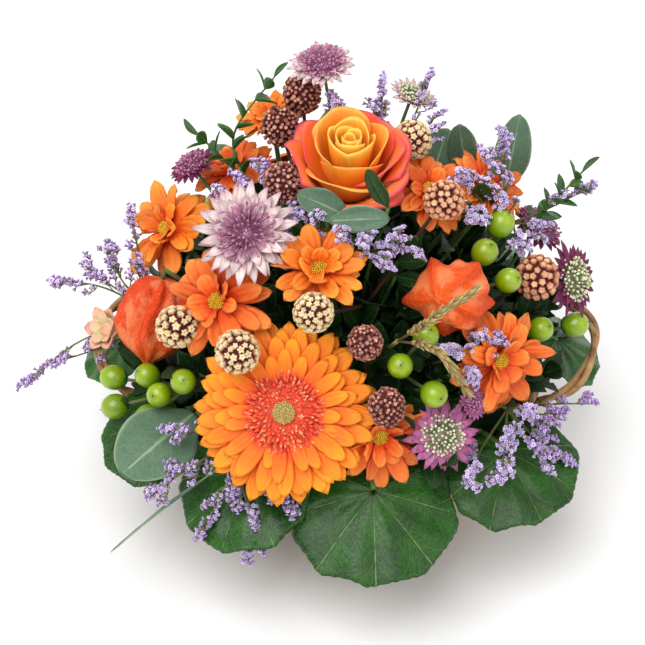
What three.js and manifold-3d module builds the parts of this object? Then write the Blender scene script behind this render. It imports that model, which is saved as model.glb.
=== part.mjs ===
/**
 * A round willow basket with two rope handles, filled with an autumn arrangement: wet foam in
 * a liner, a collar of scalloped leaves, and a dome of blooms, berries, seed heads and statice.
 *
 * Millimetres, +Z up, -Y the front. The origin is the middle of the base's underside.
 *
 * Stems and heads stand first. Petals, leaves and sprays come after them, and each is tilted
 * until it clears everything that belongs to another node, or is left out where nothing fits.
 */
import * as THREE from "three";
import { mergeVertices } from "three/addons/utils/BufferGeometryUtils.js";
import Module from "manifold-3d";

const wasm = await Module();
wasm.setup();

// ---------------------------------------------------------------- driving dimensions

const GAP = 0.3; // clearance between neighbouring pieces
const TAU = 2 * Math.PI;

const BASKET = {
  height: 70,
  baseRadius: 74,
  rimRadius: 105,
  wall: 6,
  floor: 5,
  stakes: 24, // columns of the weave, an even number so that over and under alternate
  rows: 9,
  relief: 1.3,
};
const LINER = { thickness: 1, below: 3, facets: 12 };
const FOAM = { shoulder: 64, domeHeight: 44, ledge: 8, seatDepth: 15, domeRows: 3 };
const FOAM_HEART = new THREE.Vector3(0, 0, 48); // stems point away from here
const HANDLE = {
  footX: 101,
  footY: 40,
  footZ: 71,
  reach: 133,
  apexZ: 84,
  strand: 2.1, // radius of one willow strand
  twists: 3.5,
  steps: 15,
  pegRadius: 1.7,
  pegDepth: 10,
};
// The clear space for the fingers inside each handle, kept free of leaves and berries.
const FINGER_GAP = { inner: 111, outer: 122, front: -18, back: 8, low: 76, high: 95 };

// ---------------------------------------------------------------- solids from geometry

/** Turns a closed geometry into a solid. */
function solidOf(geometry) {
  geometry.deleteAttribute("normal");
  geometry.deleteAttribute("uv");
  const merged = mergeVertices(geometry, 1e-4);
  const kept = [];
  const index = merged.index.array;
  for (let i = 0; i < index.length; i += 3) {
    const [a, b, c] = [index[i], index[i + 1], index[i + 2]];
    if (a !== b && b !== c && c !== a) kept.push(a, b, c);
  }
  return new wasm.Manifold(new wasm.Mesh({
    numProp: 3,
    vertProperties: new Float32Array(merged.attributes.position.array),
    triVerts: new Uint32Array(kept),
  }));
}

/** Turns a solid back into a geometry with flat facets. */
function geometryOf(solid) {
  const mesh = solid.getMesh();
  const geometry = new THREE.BufferGeometry();
  geometry.setAttribute("position", new THREE.BufferAttribute(new Float32Array(mesh.vertProperties), 3));
  geometry.setIndex(new THREE.BufferAttribute(new Uint32Array(mesh.triVerts), 1));
  geometry.computeVertexNormals();
  return geometry;
}

/** The outer shell of the largest body: loose scraps are dropped and sealed hollows filled. */
function largestBody(solid) {
  const bodies = solid.decompose();
  return bodies.reduce((best, body) => (body.volume() > best.volume() ? body : best));
}

function moved(solid, matrix) {
  return solid.transform(matrix.elements);
}

function vector([x, y, z]) {
  return new THREE.Vector3(x, y, z);
}

function radians(degrees) {
  return THREE.MathUtils.degToRad(degrees);
}

/** A frame at a point with its Z along the axis and its Y as near to upright as it can be. */
function facing(at, axis, spin = 0) {
  const z = axis.clone().normalize();
  const reference = Math.abs(z.z) > 0.95 ? new THREE.Vector3(0, 1, 0) : new THREE.Vector3(0, 0, 1);
  const x = new THREE.Vector3().crossVectors(reference, z).normalize();
  const y = new THREE.Vector3().crossVectors(z, x);
  const frame = new THREE.Matrix4().makeBasis(x, y, z).setPosition(at);
  return frame.multiply(new THREE.Matrix4().makeRotationZ(spin));
}

/**
 * Skins a stack of point rings that turn clockwise about the way they go. One point is a tip, and
 * a ring may have twice as many points as the ring before it.
 */
function loft(rings) {
  const positions = [];
  const index = [];
  const starts = [];
  for (const ring of rings) {
    starts.push(positions.length / 3);
    for (const point of ring) positions.push(point.x, point.y, point.z);
  }
  const at = (ring, i) => starts[ring] + (i % rings[ring].length);
  for (let ring = 0; ring + 1 < rings.length; ring += 1) {
    const doubled = rings[ring].length > 1 && rings[ring + 1].length === 2 * rings[ring].length;
    const sides = doubled ? rings[ring].length : Math.max(rings[ring].length, rings[ring + 1].length);
    for (let i = 0; i < sides; i += 1) {
      if (doubled) {
        const [near, far] = [at(ring, i), at(ring, i + 1)];
        const [first, between, last] = [0, 1, 2].map((step) => at(ring + 1, 2 * i + step));
        index.push(near, far, between, near, between, first, far, last, between);
        continue;
      }
      const [a, b] = [at(ring, i), at(ring, i + 1)];
      const [c, d] = [at(ring + 1, i + 1), at(ring + 1, i)];
      if (i % 2 === 0) index.push(a, b, c, a, c, d);
      else index.push(a, b, d, b, c, d);
    }
  }
  const last = rings.length - 1;
  for (let i = 1; i + 1 < rings[0].length; i += 1) index.push(at(0, 0), at(0, i + 1), at(0, i));
  for (let i = 1; i + 1 < rings[last].length; i += 1) {
    index.push(at(last, 0), at(last, i), at(last, i + 1));
  }
  const geometry = new THREE.BufferGeometry();
  geometry.setAttribute("position", new THREE.Float32BufferAttribute(positions, 3));
  geometry.setIndex(index);
  return solidOf(geometry);
}

/**
 * A blade along +Y with a rib and sharp margins. Stations are [share of length, half width]; a
 * half width of 0 is a point. Lift tilts it up, curl bends it down towards the tip, and keel
 * raises its margins.
 */
function blade({ length, stations, rib = 1.1, lift = 0, curl = 0, keel = 0 }) {
  const rings = [];
  let previous = 0;
  const spine = new THREE.Vector3();
  for (const [share, halfWidth] of [...stations, [1, 0]]) {
    const middle = lift - curl * (share + previous) / 2;
    const run = (share - previous) * length;
    spine.y += run * Math.cos(middle);
    spine.z += run * Math.sin(middle);
    previous = share;
    if (halfWidth === 0) {
      rings.push([spine.clone()]);
      continue;
    }
    const slope = lift - curl * share;
    const up = new THREE.Vector3(0, -Math.sin(slope), Math.cos(slope));
    const margin = spine.clone().addScaledVector(up, keel * halfWidth);
    rings.push([
      margin.clone().setX(-halfWidth),
      spine.clone().addScaledVector(up, rib / 2),
      margin.clone().setX(halfWidth),
      spine.clone().addScaledVector(up, -rib / 2),
    ]);
  }
  return loft(rings);
}

/** A curved sheet with sharp margins over point(u, v), split into triangles alike on both faces. */
function sheet(point, across, along, thickness) {
  const positions = [];
  const index = [];
  const faces = [[], []];
  const step = 1e-3;
  for (let j = 0; j <= along; j += 1) {
    for (let i = 0; i <= across; i += 1) {
      const [u, v] = [-1 + (2 * i) / across, j / along];
      const middle = point(u, v);
      const edge = i === 0 || i === across || j === 0 || j === along;
      const tangentU = point(u + step, v).sub(middle);
      const tangentV = point(u, v + step).sub(middle);
      const normal = tangentU.cross(tangentV).normalize();
      for (const side of [0, 1]) {
        if (edge && side === 1) {
          faces[1].push(faces[0].at(-1));
          continue;
        }
        const offset = edge ? 0 : (side === 0 ? 0.5 : -0.5) * thickness;
        faces[side].push(positions.length / 3);
        positions.push(...middle.clone().addScaledVector(normal, offset));
      }
    }
  }
  const row = across + 1;
  for (let j = 0; j < along; j += 1) {
    for (let i = 0; i < across; i += 1) {
      const a = j * row + i;
      const corners = i < across / 2 ? [a, a + 1, a + row + 1, a, a + row + 1, a + row]
        : [a, a + 1, a + row, a + 1, a + row + 1, a + row];
      for (let k = 0; k < corners.length; k += 3) {
        const [p, q, r] = corners.slice(k, k + 3);
        index.push(faces[0][p], faces[0][q], faces[0][r]);
        index.push(faces[1][p], faces[1][r], faces[1][q]);
      }
    }
  }
  const geometry = new THREE.BufferGeometry();
  geometry.setAttribute("position", new THREE.Float32BufferAttribute(positions, 3));
  geometry.setIndex(index);
  return solidOf(geometry);
}

/** A round leaf about its petiole: its tip lies along +Y, its notch along -Y, its face up. */
function fanLeaf({ radius, scallops, droop, wave, thickness, edges }) {
  const hub = [new THREE.Vector3(0, 0, thickness / 2), new THREE.Vector3(0, 0, -thickness / 2)];
  const height = (share, turn) => -droop * share * share * radius
    + wave * share * share * Math.cos(3 * turn + 0.6);
  const at = (share, turn, lift) => {
    const lobe = 0.3 + 0.7 * ((1 + Math.cos(turn)) / 2) ** 0.35;
    const reach = share * radius * lobe * (share < 1 ? 1 : 1 + 0.035 * Math.cos(scallops * turn));
    return new THREE.Vector3(reach * Math.sin(turn), reach * Math.cos(turn), height(share, turn) + lift);
  };
  const rings = [0.55, 0.55, 1].map((share, i) => {
    const lift = [0.4, -0.4, 0][i] * thickness;
    return Array.from({ length: edges }, (_, k) => at(share, (-k / edges) * TAU, lift));
  });
  return loft([[hub[1]], rings[1], rings[2], rings[0], [hub[0]]]);
}

/** A stem with few sides along a curve. */
function tube(curve, radius, sides, steps) {
  const outline = new THREE.Shape();
  for (let i = 0; i < sides; i += 1) {
    const turn = (i / sides) * TAU;
    const corner = [radius * Math.cos(turn), radius * Math.sin(turn)];
    if (i === 0) outline.moveTo(...corner);
    else outline.lineTo(...corner);
  }
  outline.closePath();
  return solidOf(new THREE.ExtrudeGeometry(outline, { steps, extrudePath: curve, bevelEnabled: false }));
}

function rod(from, to, radius, sides = 3) {
  return tube(new THREE.LineCurve3(from, to), radius, sides, 1);
}

/** A solid of revolution about Z from [radius, height] points that start and end on the axis. */
function turned(profile, segments) {
  const points = profile.map(([radius, height]) => new THREE.Vector2(radius, height));
  const geometry = new THREE.LatheGeometry(points, segments);
  return solidOf(geometry.rotateX(Math.PI / 2));
}

/** A ring of points about Z at a height. A radius of 0 is one point. */
function ring(height, radius, count = 3) {
  return Array.from({ length: radius === 0 ? 1 : count }, (_, i) => {
    const turn = (i / count) * TAU;
    return new THREE.Vector3(radius * Math.cos(turn), radius * Math.sin(turn), height);
  });
}

const SPRINGING = 2; // how far from its pointed root a branch reaches its full thickness

/** A branch that springs from a point inside the stem. */
function branchRod(from, to, radius) {
  const rings = [ring(0, 0), ring(SPRINGING, radius), ring(from.distanceTo(to), radius)];
  return moved(loft(rings), facing(from, to.clone().sub(from)));
}

/**
 * A branch that swells into a ball. A relief raises the ball into knobs, one at every other point
 * of its grid, and a squash draws it out along the branch.
 */
function headOnBranch(from, centre, { radius, columns, rows, relief = 0, squash = 1, branch = 1.2 }) {
  const frame = facing(from, centre.clone().sub(from));
  const reach = from.distanceTo(centre);
  const stalk = [SPRINGING, reach - squash * radius].map((height) => ring(height, branch, columns / 2));
  const rings = [ring(0, 0), ...stalk];
  for (let row = 1; row < rows; row += 1) {
    const rise = (row / rows - 0.5) * Math.PI;
    rings.push(Array.from({ length: columns }, (_, i) => {
      const size = radius + ((i + row) % 2 === 0 ? relief : -relief);
      const across = size * Math.cos(rise);
      const turn = (i / columns) * TAU;
      const along = reach + squash * size * Math.sin(rise);
      return new THREE.Vector3(across * Math.cos(turn), across * Math.sin(turn), along);
    }));
  }
  return moved(loft([...rings, ring(reach + squash * radius, 0)]), frame);
}

// ---------------------------------------------------------------- the arrangement

/** Every piece placed so far, by the node that it belongs to. */
class Arrangement {
  pieces = [];

  add(node, solid) {
    const { min, max } = solid.boundingBox();
    this.pieces.push({ node, solid, min, max });
  }

  /** The nodes of other pieces that a solid comes nearer to than the gap. */
  conflicts(node, solid) {
    const { min, max } = solid.boundingBox();
    const near = (other) => other.node !== node
      && [0, 1, 2].every((k) => min[k] - GAP < other.max[k] && other.min[k] - GAP < max[k])
      && solid.minGap(other.solid, 2 * GAP) < GAP - 0.02;
    return this.pieces.filter(near).map((other) => other.node);
  }

  /** Adds the first variant that is clear of every other node. */
  fit(node, variants, make) {
    for (const variant of variants) {
      const solid = make(variant);
      if (this.conflicts(node, solid).length === 0) {
        this.add(node, solid);
        return true;
      }
    }
    return false;
  }

  fused(node) {
    const own = this.pieces.filter((piece) => piece.node === node).map((piece) => piece.solid);
    return largestBody(wasm.Manifold.union(own));
  }
}

const arrangement = new Arrangement();
const stemHoles = []; // what the stems take out of the foam

/** How far the foam's surface is from its heart in a direction. */
function foamSurface(direction) {
  const reach = (height) => height - FOAM_HEART.z;
  const radius = foamShoulderRadius();
  let share = 1;
  for (let distance = 10; distance < 140; distance += 1) {
    const point = direction.clone().multiplyScalar(distance);
    const rise = Math.max(0, point.z - reach(FOAM.shoulder));
    share = Math.hypot(point.x / radius, point.y / radius, rise / FOAM.domeHeight);
    if (share >= 1) return distance;
  }
  return 140;
}

function basketInnerRadius(height) {
  const share = height / BASKET.height;
  return THREE.MathUtils.lerp(BASKET.baseRadius, BASKET.rimRadius, share) - BASKET.wall;
}

function foamShoulderRadius() {
  return basketInnerRadius(FOAM.shoulder) - FOAM.ledge;
}

/** The lowest point of a stem that stands in the foam and leads towards a point. */
function rootToward(point) {
  const direction = point.clone().sub(FOAM_HEART).normalize();
  const surface = foamSurface(direction);
  return {
    direction,
    root: FOAM_HEART.clone().addScaledVector(direction, surface - FOAM.seatDepth),
    out: FOAM_HEART.clone().addScaledVector(direction, surface + 3),
  };
}

/**
 * Stands one stem in the foam. It forks where it has several ends, or where a way of making its
 * branches is given.
 */
function growStem(node, ends, radius, branch) {
  const middle = ends.reduce((sum, end) => sum.add(end), new THREE.Vector3()).divideScalar(ends.length);
  const { root, out, direction } = rootToward(middle);
  const sides = radius > 2.5 ? 5 : 3;
  const spare = GAP / Math.cos(Math.PI / sides) + 0.05; // keeps the gap at the flats of the hole
  const holeFoot = root.clone().addScaledVector(direction, -2 * GAP);
  stemHoles.push(rod(holeFoot, out.clone().addScaledVector(direction, 6), radius + spare, sides));
  if (ends.length === 1 && !branch) {
    arrangement.add(node, rod(root, ends[0], radius, sides));
    return;
  }
  const fork = out.clone().lerp(middle, 0.35);
  const foot = fork.clone().addScaledVector(direction, -1.5);
  arrangement.add(node, rod(root, fork, radius, sides));
  for (const [i, end] of ends.entries()) {
    arrangement.add(node, branch ? branch(foot, end, i) : branchRod(foot, end, radius * 0.8));
  }
}

const TILTS = [0, 9, -9, 18, -18, 28, -28, 38, -38].map(radians);

/**
 * The corners of one petal in a ring. The petal has a left and a right shoulder at its widest
 * place, a rib between them, and a tip. Tilt turns it up about the edge of the hub.
 */
function petalCorners(petal, turn, bend) {
  const { hub, length, halfWidth, widest, lift, keel = 0.15, rib = 1.2 } = petal;
  const slope = lift + bend.tilt;
  const reach = length * bend.share;
  const at = (across, along, above) => {
    const out = hub + along * Math.cos(slope) - above * Math.sin(slope);
    const height = along * Math.sin(slope) + above * Math.cos(slope);
    return new THREE.Vector3(across, out, height).applyAxisAngle(new THREE.Vector3(0, 0, 1), turn);
  };
  return {
    left: at(-halfWidth, reach * widest, keel * halfWidth),
    right: at(halfWidth, reach * widest, keel * halfWidth),
    top: at(0, reach * widest, rib / 2),
    bottom: at(0, reach * widest, -rib / 2),
    tip: at(0, reach, 0),
  };
}

/**
 * A ring of petals in one piece. The petals take their shapes from the layers in turn, and they
 * spring from a round hub with a raised crown: rings of [share of the hub's radius, height], in
 * which every other point stands out by the pins' height. A bend of null leaves a petal out.
 */
function star({ count, hub, layers, crown, depth, pins = 0 }, bends) {
  const positions = [];
  const index = [];
  const put = (point) => positions.push(point.x, point.y, point.z) / 3 - 1;
  const round = (share, height, step) => {
    const turn = (step / count) * TAU;
    return new THREE.Vector3(-hub * share * Math.sin(turn), hub * share * Math.cos(turn), height);
  };
  const apex = put(new THREE.Vector3(0, 0, crown.at(-1)[1] + 0.5 * hub * crown.at(-1)[0] + pins));
  const base = put(new THREE.Vector3(0, 0, -depth));
  const corner = Array.from({ length: count }, (_, i) => put(round(1, 0, i - 0.5)));
  const rings = crown.map(([share, height], row) => Array.from({ length: count }, (_, i) => {
    const pin = (i + row) % 2 === 0 ? pins : 0;
    return put(round(share + pin * 0.04, height + pin, i));
  }));
  for (let i = 0; i < count; i += 1) {
    const next = (i + 1) % count;
    const [right, left] = [corner[i], corner[next]];
    index.push(rings[0][i], left, rings[0][next]);
    for (let row = 0; row + 1 < rings.length; row += 1) {
      index.push(rings[row][i], rings[row][next], rings[row + 1][i]);
      index.push(rings[row][next], rings[row + 1][next], rings[row + 1][i]);
    }
    index.push(rings.at(-1)[i], rings.at(-1)[next], apex);
    if (!bends[i]) {
      index.push(rings[0][i], right, left, base, left, right);
      continue;
    }
    const petal = petalCorners({ hub, ...layers[i % layers.length] }, (i / count) * TAU, bends[i]);
    const names = ["left", "right", "top", "bottom", "tip"];
    const [l, r, top, bottom, tip] = names.map((name) => put(petal[name]));
    const rim = [right, r, tip, l, left];
    for (let k = 0; k + 1 < rim.length; k += 1) {
      index.push(top, rim[k], rim[k + 1], bottom, rim[k + 1], rim[k]);
    }
    index.push(top, left, rings[0][i], top, rings[0][i], right);
    index.push(bottom, base, left, bottom, right, base);
  }
  const geometry = new THREE.BufferGeometry();
  geometry.setAttribute("position", new THREE.Float32BufferAttribute(positions, 3));
  geometry.setIndex(index);
  return solidOf(geometry);
}

/**
 * Opens a ring of petals on a bloom. A petal that meets a neighbour is tilted, the first layer
 * down and the others up so that they never cross, or shortened, or at last left out.
 */
function openStar(node, frame, spec) {
  const bends = Array.from({ length: spec.count }, (_, i) => {
    const way = i % spec.layers.length === 0 ? -1 : 1;
    const variants = [1, 0.75, 0.5].flatMap((share) => (
      [0, 9, 18, 28, 40].map((tilt) => ({ share, tilt: way * radians(tilt) }))));
    return variants.find((bend) => {
      const alone = Array.from({ length: spec.count }, (_, k) => (k === i ? bend : null));
      return arrangement.conflicts(node, moved(star(spec, alone), frame)).length === 0;
    });
  });
  arrangement.add(node, moved(star(spec, bends), frame));
}

/** Blades set round a stem or bud, each tilted until it clears the neighbours. */
function whorl(node, frame, { count, seat, height, petal }) {
  for (let i = 0; i < count; i += 1) {
    const place = frame.clone()
      .multiply(new THREE.Matrix4().makeRotationZ((i / count) * TAU))
      .multiply(new THREE.Matrix4().makeTranslation(0, seat, height));
    arrangement.fit(node, TILTS, (tilt) => (
      moved(blade({ ...petal, lift: (petal.lift ?? 0) + tilt }), place)));
  }
}

// ---------------------------------------------------------------- basket, liner, foam, handles

/** The basket: a tapered cup whose outside and rim are raised into an over-and-under weave. */
function buildBasket() {
  const { height, baseRadius, rimRadius, wall, floor, stakes, rows, relief } = BASKET;
  const outside = Array.from({ length: rows + 1 }, (_, j) => {
    const share = j / rows;
    return [THREE.MathUtils.lerp(baseRadius, rimRadius, share), share * (height - wall / 2)];
  });
  const profile = [
    [0, 0],
    ...outside,
    [rimRadius - wall / 2, height],
    [rimRadius - wall, height - wall / 2],
    [basketInnerRadius(floor), floor],
    [0, floor],
  ];
  const points = profile.map(([radius, z]) => new THREE.Vector2(radius, z));
  const geometry = new THREE.LatheGeometry(points, stakes);
  const place = geometry.attributes.position;
  for (let i = 0; i <= stakes; i += 1) {
    for (let j = 2; j <= rows + 2; j += 1) {
      const k = i * points.length + j;
      const swell = relief * ((i + j) % 2 === 0 ? 1 : -1);
      const radius = Math.hypot(place.getX(k), place.getZ(k));
      const share = (radius + (j === rows + 2 ? 0 : swell)) / radius;
      const lift = j === rows + 2 ? swell : 0;
      place.setXYZ(k, place.getX(k) * share, place.getY(k) + lift, place.getZ(k) * share);
    }
  }
  return solidOf(geometry.rotateX(Math.PI / 2));
}

/** The thin cup that keeps the water in, just inside the weave. */
function buildLiner() {
  const top = BASKET.height - LINER.below;
  const low = BASKET.floor + GAP;
  const snug = Math.cos(Math.PI / BASKET.stakes); // the weave's inside is a polygon too
  const outer = (z) => basketInnerRadius(z) * snug - 2 * GAP;
  return turned([
    [0, low],
    [outer(low), low],
    [outer(top), top],
    [outer(top) - LINER.thickness, top],
    [outer(low + LINER.thickness) - LINER.thickness, low + LINER.thickness],
    [0, low + LINER.thickness],
  ], LINER.facets);
}

/** The wet foam: a tapered block in the liner with a domed top, pierced by the stems. */
function buildFoam() {
  const low = BASKET.floor + GAP + LINER.thickness + GAP;
  const snug = Math.cos(Math.PI / BASKET.stakes);
  const outer = (z) => basketInnerRadius(z) * snug - 3.5 * GAP - LINER.thickness;
  const radius = foamShoulderRadius();
  const dome = Array.from({ length: FOAM.domeRows + 1 }, (_, i) => {
    const turn = (i / FOAM.domeRows) * (Math.PI / 2);
    return [radius * Math.cos(turn), FOAM.shoulder + FOAM.domeHeight * Math.sin(turn)];
  });
  dome[FOAM.domeRows][0] = 0;
  const block = turned([[0, low], [outer(low), low], [outer(FOAM.shoulder), FOAM.shoulder], ...dome],
    LINER.facets);
  return block.subtract(wasm.Manifold.union(stemHoles));
}

/** One handle: two willow strands twisted together, with pegs that sink into the rim. */
function buildHandle(side) {
  const { footX, footY, footZ, reach, apexZ, strand, twists, steps } = HANDLE;
  const spine = new THREE.CatmullRomCurve3([
    new THREE.Vector3(footX, -footY, footZ),
    new THREE.Vector3(footX + 0.62 * (reach - footX), -0.8 * footY, footZ + 0.55 * (apexZ - footZ)),
    new THREE.Vector3(reach, 0, apexZ),
    new THREE.Vector3(footX + 0.62 * (reach - footX), 0.8 * footY, footZ + 0.55 * (apexZ - footZ)),
    new THREE.Vector3(footX, footY, footZ),
  ].map((point) => point.setX(point.x * side)));
  const rings = [];
  for (let k = 0; k <= steps; k += 1) {
    const share = k / steps;
    const centre = spine.getPointAt(share);
    const along = spine.getTangentAt(share);
    const right = new THREE.Vector3().crossVectors(along, new THREE.Vector3(0, 0, 1)).normalize();
    const up = new THREE.Vector3().crossVectors(right, along);
    const turn = share * twists * Math.PI;
    // Six points round both strands: a wide waist of two lobes with a groove between them.
    const lobes = [[1.7, 0.75], [0, 0.72], [-1.7, 0.75], [-1.7, -0.75], [0, -0.72], [1.7, -0.75]];
    rings.push(lobes.map(([x, y]) => {
      const across = strand * (x * Math.cos(turn) + y * Math.sin(turn));
      const over = strand * (-x * Math.sin(turn) + y * Math.cos(turn));
      return centre.clone().addScaledVector(right, -across).addScaledVector(up, over);
    }));
  }
  const rope = loft(rings);
  const pegs = [-1, 1].map((end) => {
    const top = new THREE.Vector3(side * (footX - 0.5), end * (footY - 0.5), footZ + 1);
    return { top, foot: top.clone().add(new THREE.Vector3(-side * 3.2, 0, -HANDLE.pegDepth)) };
  });
  const pegRods = pegs.map(({ top, foot }) => rod(foot, top, HANDLE.pegRadius, 6));
  const solid = wasm.Manifold.union([rope, ...pegRods]);
  const holes = pegs.map(({ top, foot }) => {
    const down = foot.clone().sub(top).normalize();
    return rod(foot.clone().addScaledVector(down, 2 * GAP), top, HANDLE.pegRadius + 0.45, 6);
  });
  return { solid, holes };
}

// ---------------------------------------------------------------- blooms

/** A small cup on the end of a stem that meets a head's flat underside. */
function calyx(node, frame, depth, { radius, height }) {
  const cup = new THREE.CylinderGeometry(radius, radius * 0.4, height, 6).rotateX(Math.PI / 2);
  const seat = new THREE.Matrix4().makeTranslation(0, 0, -depth - GAP - height / 2);
  arrangement.add(node, moved(solidOf(cup), frame.clone().multiply(seat)));
}

const GERBERA = { at: vector([-30, -92, 116]), axis: vector([-0.08, -0.74, 0.67]), radius: 44 };

const GERBERA_DEPTH = 1.2;

const gerbera = {
  frame: facing(GERBERA.at, GERBERA.axis),
  stand() {
    calyx("gerbera_stem", this.frame, GERBERA_DEPTH + 0.4, { radius: 7, height: 7 });
    growStem("gerbera_stem", [new THREE.Vector3(0, 0, -6).applyMatrix4(this.frame)], 3);
  },
  open() {
    const hub = 7;
    const ray = { length: GERBERA.radius - hub, halfWidth: 4.1, widest: 0.68, keel: 0.1 };
    openStar("gerbera_rays", this.frame, {
      count: 46,
      hub,
      crown: [[0.5, 1]],
      depth: GERBERA_DEPTH,
      layers: [{ ...ray, lift: radians(1) }, { ...ray, length: 28, halfWidth: 3.2, lift: radians(11) }],
    });
    const floret = { length: 13, halfWidth: 1.5, widest: 0.55, lift: radians(20) };
    openStar("gerbera_eye", this.frame.clone().multiply(new THREE.Matrix4().makeTranslation(0, 0, 4.6)), {
      count: 24,
      hub: 5,
      crown: [[0.72, 1], [0.4, 1.6]],
      depth: 1.2,
      pins: 0.6,
      layers: [floret, { ...floret, length: 9, lift: radians(42) }],
    });
  },
};

const ROSE = { at: vector([1, -7, 210]), axis: vector([0, -0.12, 1]), radius: 28, depth: 34 };

/** One rose petal as a curved sheet round the bloom's axis. */
function rosePetal({ turn, radius, halfAngle, base, top, flare }) {
  const point = (u, v) => {
    const width = Math.sin(Math.PI * (0.16 + 0.56 * v));
    const angle = turn - u * halfAngle * width;
    const lip = Math.max(0, (v - 0.5) / 0.5) ** 2;
    const reach = radius * (0.2 + 0.8 * Math.sin((v * Math.PI) / 2) ** 0.85) + flare * 7 * lip;
    const height = THREE.MathUtils.lerp(base, top, v) - 5 * u * u * v - flare * 5 * lip;
    return new THREE.Vector3(reach * Math.cos(angle), reach * Math.sin(angle), height);
  };
  return sheet(point, 3, 2, 1.8);
}

const rose = {
  frame: facing(ROSE.at, ROSE.axis),
  stand() {
    const heart = turned([[0, -ROSE.depth], [6, -ROSE.depth], [13, -18], [9, -2], [0, 8]], 6);
    arrangement.add("rose_petals", moved(heart, this.frame));
    growStem("rose_stem", [new THREE.Vector3(0, 0, -ROSE.depth - 5).applyMatrix4(this.frame)], 2.8);
  },
  open() {
    const layers = [
      { count: 3, radius: 13, halfAngle: 1.3, top: 9, flare: 0.1 },
      { count: 4, radius: 19, halfAngle: 1.05, top: 7, flare: 0.45 },
      { count: 5, radius: ROSE.radius, halfAngle: 0.85, top: 2, flare: 1 },
    ];
    for (const [layer, { count, ...shape }] of layers.entries()) {
      for (let i = 0; i < count; i += 1) {
        const turn = ((i + 0.37 * layer) / count) * TAU;
        arrangement.fit("rose_petals", [0, 1.5, 3, 4.5, 6], (tuck) => moved(rosePetal({
          ...shape, turn, radius: shape.radius - tuck, base: -ROSE.depth + 1,
        }), this.frame));
      }
    }
    const seat = this.frame.clone().multiply(new THREE.Matrix4().makeTranslation(0, 0, -ROSE.depth - 5));
    openStar("rose_stem", seat, {
      count: 5,
      hub: 6,
      crown: [[0.5, 2]],
      depth: 5,
      layers: [{ length: 16, halfWidth: 3, widest: 0.35, lift: radians(-20) }],
    });
    const leaf = { stations: [[0, 1], [0.3, 6], [0.65, 8.5]], keel: 0.15, lift: radians(20) };
    for (const [turn, length] of [[0.4, 34], [2.6, 32], [4.9, 30]]) {
      const place = this.frame.clone().multiply(new THREE.Matrix4().makeRotationZ(turn));
      const petal = { ...leaf, length };
      whorl("rose_stem", place, { count: 1, seat: 0.5, height: -ROSE.depth - 10, petal });
    }
  },
};

const LANTERNS = [
  { node: "lantern_right", at: [49, -55, 158], tip: [-0.35, -0.72, 0.5], radius: 20, length: 38 },
  { node: "lantern_left", at: [-97, -30, 118], tip: [-0.2, -0.45, -0.85], radius: 19, length: 46 },
];

/** A papery lantern: five ribs meet in a point, and the valleys between them are drawn in. */
function standLantern({ node, at, tip, radius, length }) {
  const profile = [[0, -0.5], [0.3, -0.5], [0.82, -0.32], [1, -0.04], [0.86, 0.2], [0.45, 0.4], [0, 0.5]];
  const points = profile.map(([reach, share]) => new THREE.Vector2(reach * radius, share * length));
  const geometry = new THREE.LatheGeometry(points, 10).rotateX(Math.PI / 2);
  const place = geometry.attributes.position;
  for (let i = 0; i < place.count; i += 1) {
    const valley = Math.floor(i / points.length) % 2 === 0 ? 1.06 : 0.88;
    place.setXYZ(i, place.getX(i) * valley, place.getY(i) * valley, place.getZ(i));
  }
  const frame = facing(vector(at), vector(tip));
  arrangement.add(node, moved(solidOf(geometry), frame));
  const stalk = new THREE.Vector3(0, 0, -length / 2 + 1).applyMatrix4(frame);
  const knee = new THREE.Vector3(0, 0, -length / 2 - 5).applyMatrix4(frame);
  arrangement.add(node, rod(stalk, knee, 1.8));
  growStem(node, [knee.clone().lerp(stalk, 0.2)], 1.9);
}

const MUMS = [
  { node: "mum_upper_left_petals", stem: "mum_stem_left", at: [-92, 14, 143], axis: [-0.55, -0.35, 0.75],
    radius: 27, petals: 18 },
  { node: "mum_left_petals", stem: "mum_stem_left", at: [-62, -56, 155], axis: [-0.35, -0.62, 0.7],
    radius: 28, petals: 20 },
  { node: "mum_centre", at: [-10, -54, 176], axis: [0, -0.5, 0.87], radius: 26, petals: 18 },
  { node: "mum_front_petals", stem: "mum_stem_right", at: [17, -95, 100], axis: [0.1, -0.9, 0.3],
    radius: 23, petals: 18 },
  { node: "mum_right_petals", stem: "mum_stem_right", at: [74, -64, 124], axis: [0.5, -0.7, 0.4],
    radius: 28, petals: 20 },
  { node: "mum_spray_top_left", at: [-58, 30, 168], axis: [-0.4, -0.1, 0.9], radius: 22, petals: 12 },
  { node: "mum_spray_top_left", at: [-38, 46, 190], axis: [-0.3, 0.1, 0.95], radius: 19, petals: 12 },
  { node: "mum_spray_top_right", at: [40, -8, 184], axis: [0.4, -0.25, 0.88], radius: 24, petals: 14 },
  { node: "mum_spray_top_right", at: [71, 10, 173], axis: [0.55, 0, 0.83], radius: 23, petals: 12 },
  { node: "mum_spray_back", at: [-48, 82, 128], axis: [-0.35, 0.72, 0.6], radius: 25, petals: 12 },
  { node: "mum_spray_back", at: [28, 84, 140], axis: [0.2, 0.7, 0.68], radius: 25, petals: 12 },
];
const MUM_DEPTH = 1.2;

function openMum({ node, at, axis, radius, petals }) {
  const petal = { length: radius - 4, halfWidth: 0.17 * radius, widest: 0.6, lift: radians(3) };
  const inner = { ...petal, length: 0.62 * radius, halfWidth: 0.13 * radius, lift: radians(22) };
  openStar(node, facing(vector(at), vector(axis)), {
    count: petals, hub: 4.4, crown: [[0.75, 1.8]], layers: [petal, inner], depth: MUM_DEPTH,
  });
}

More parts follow.
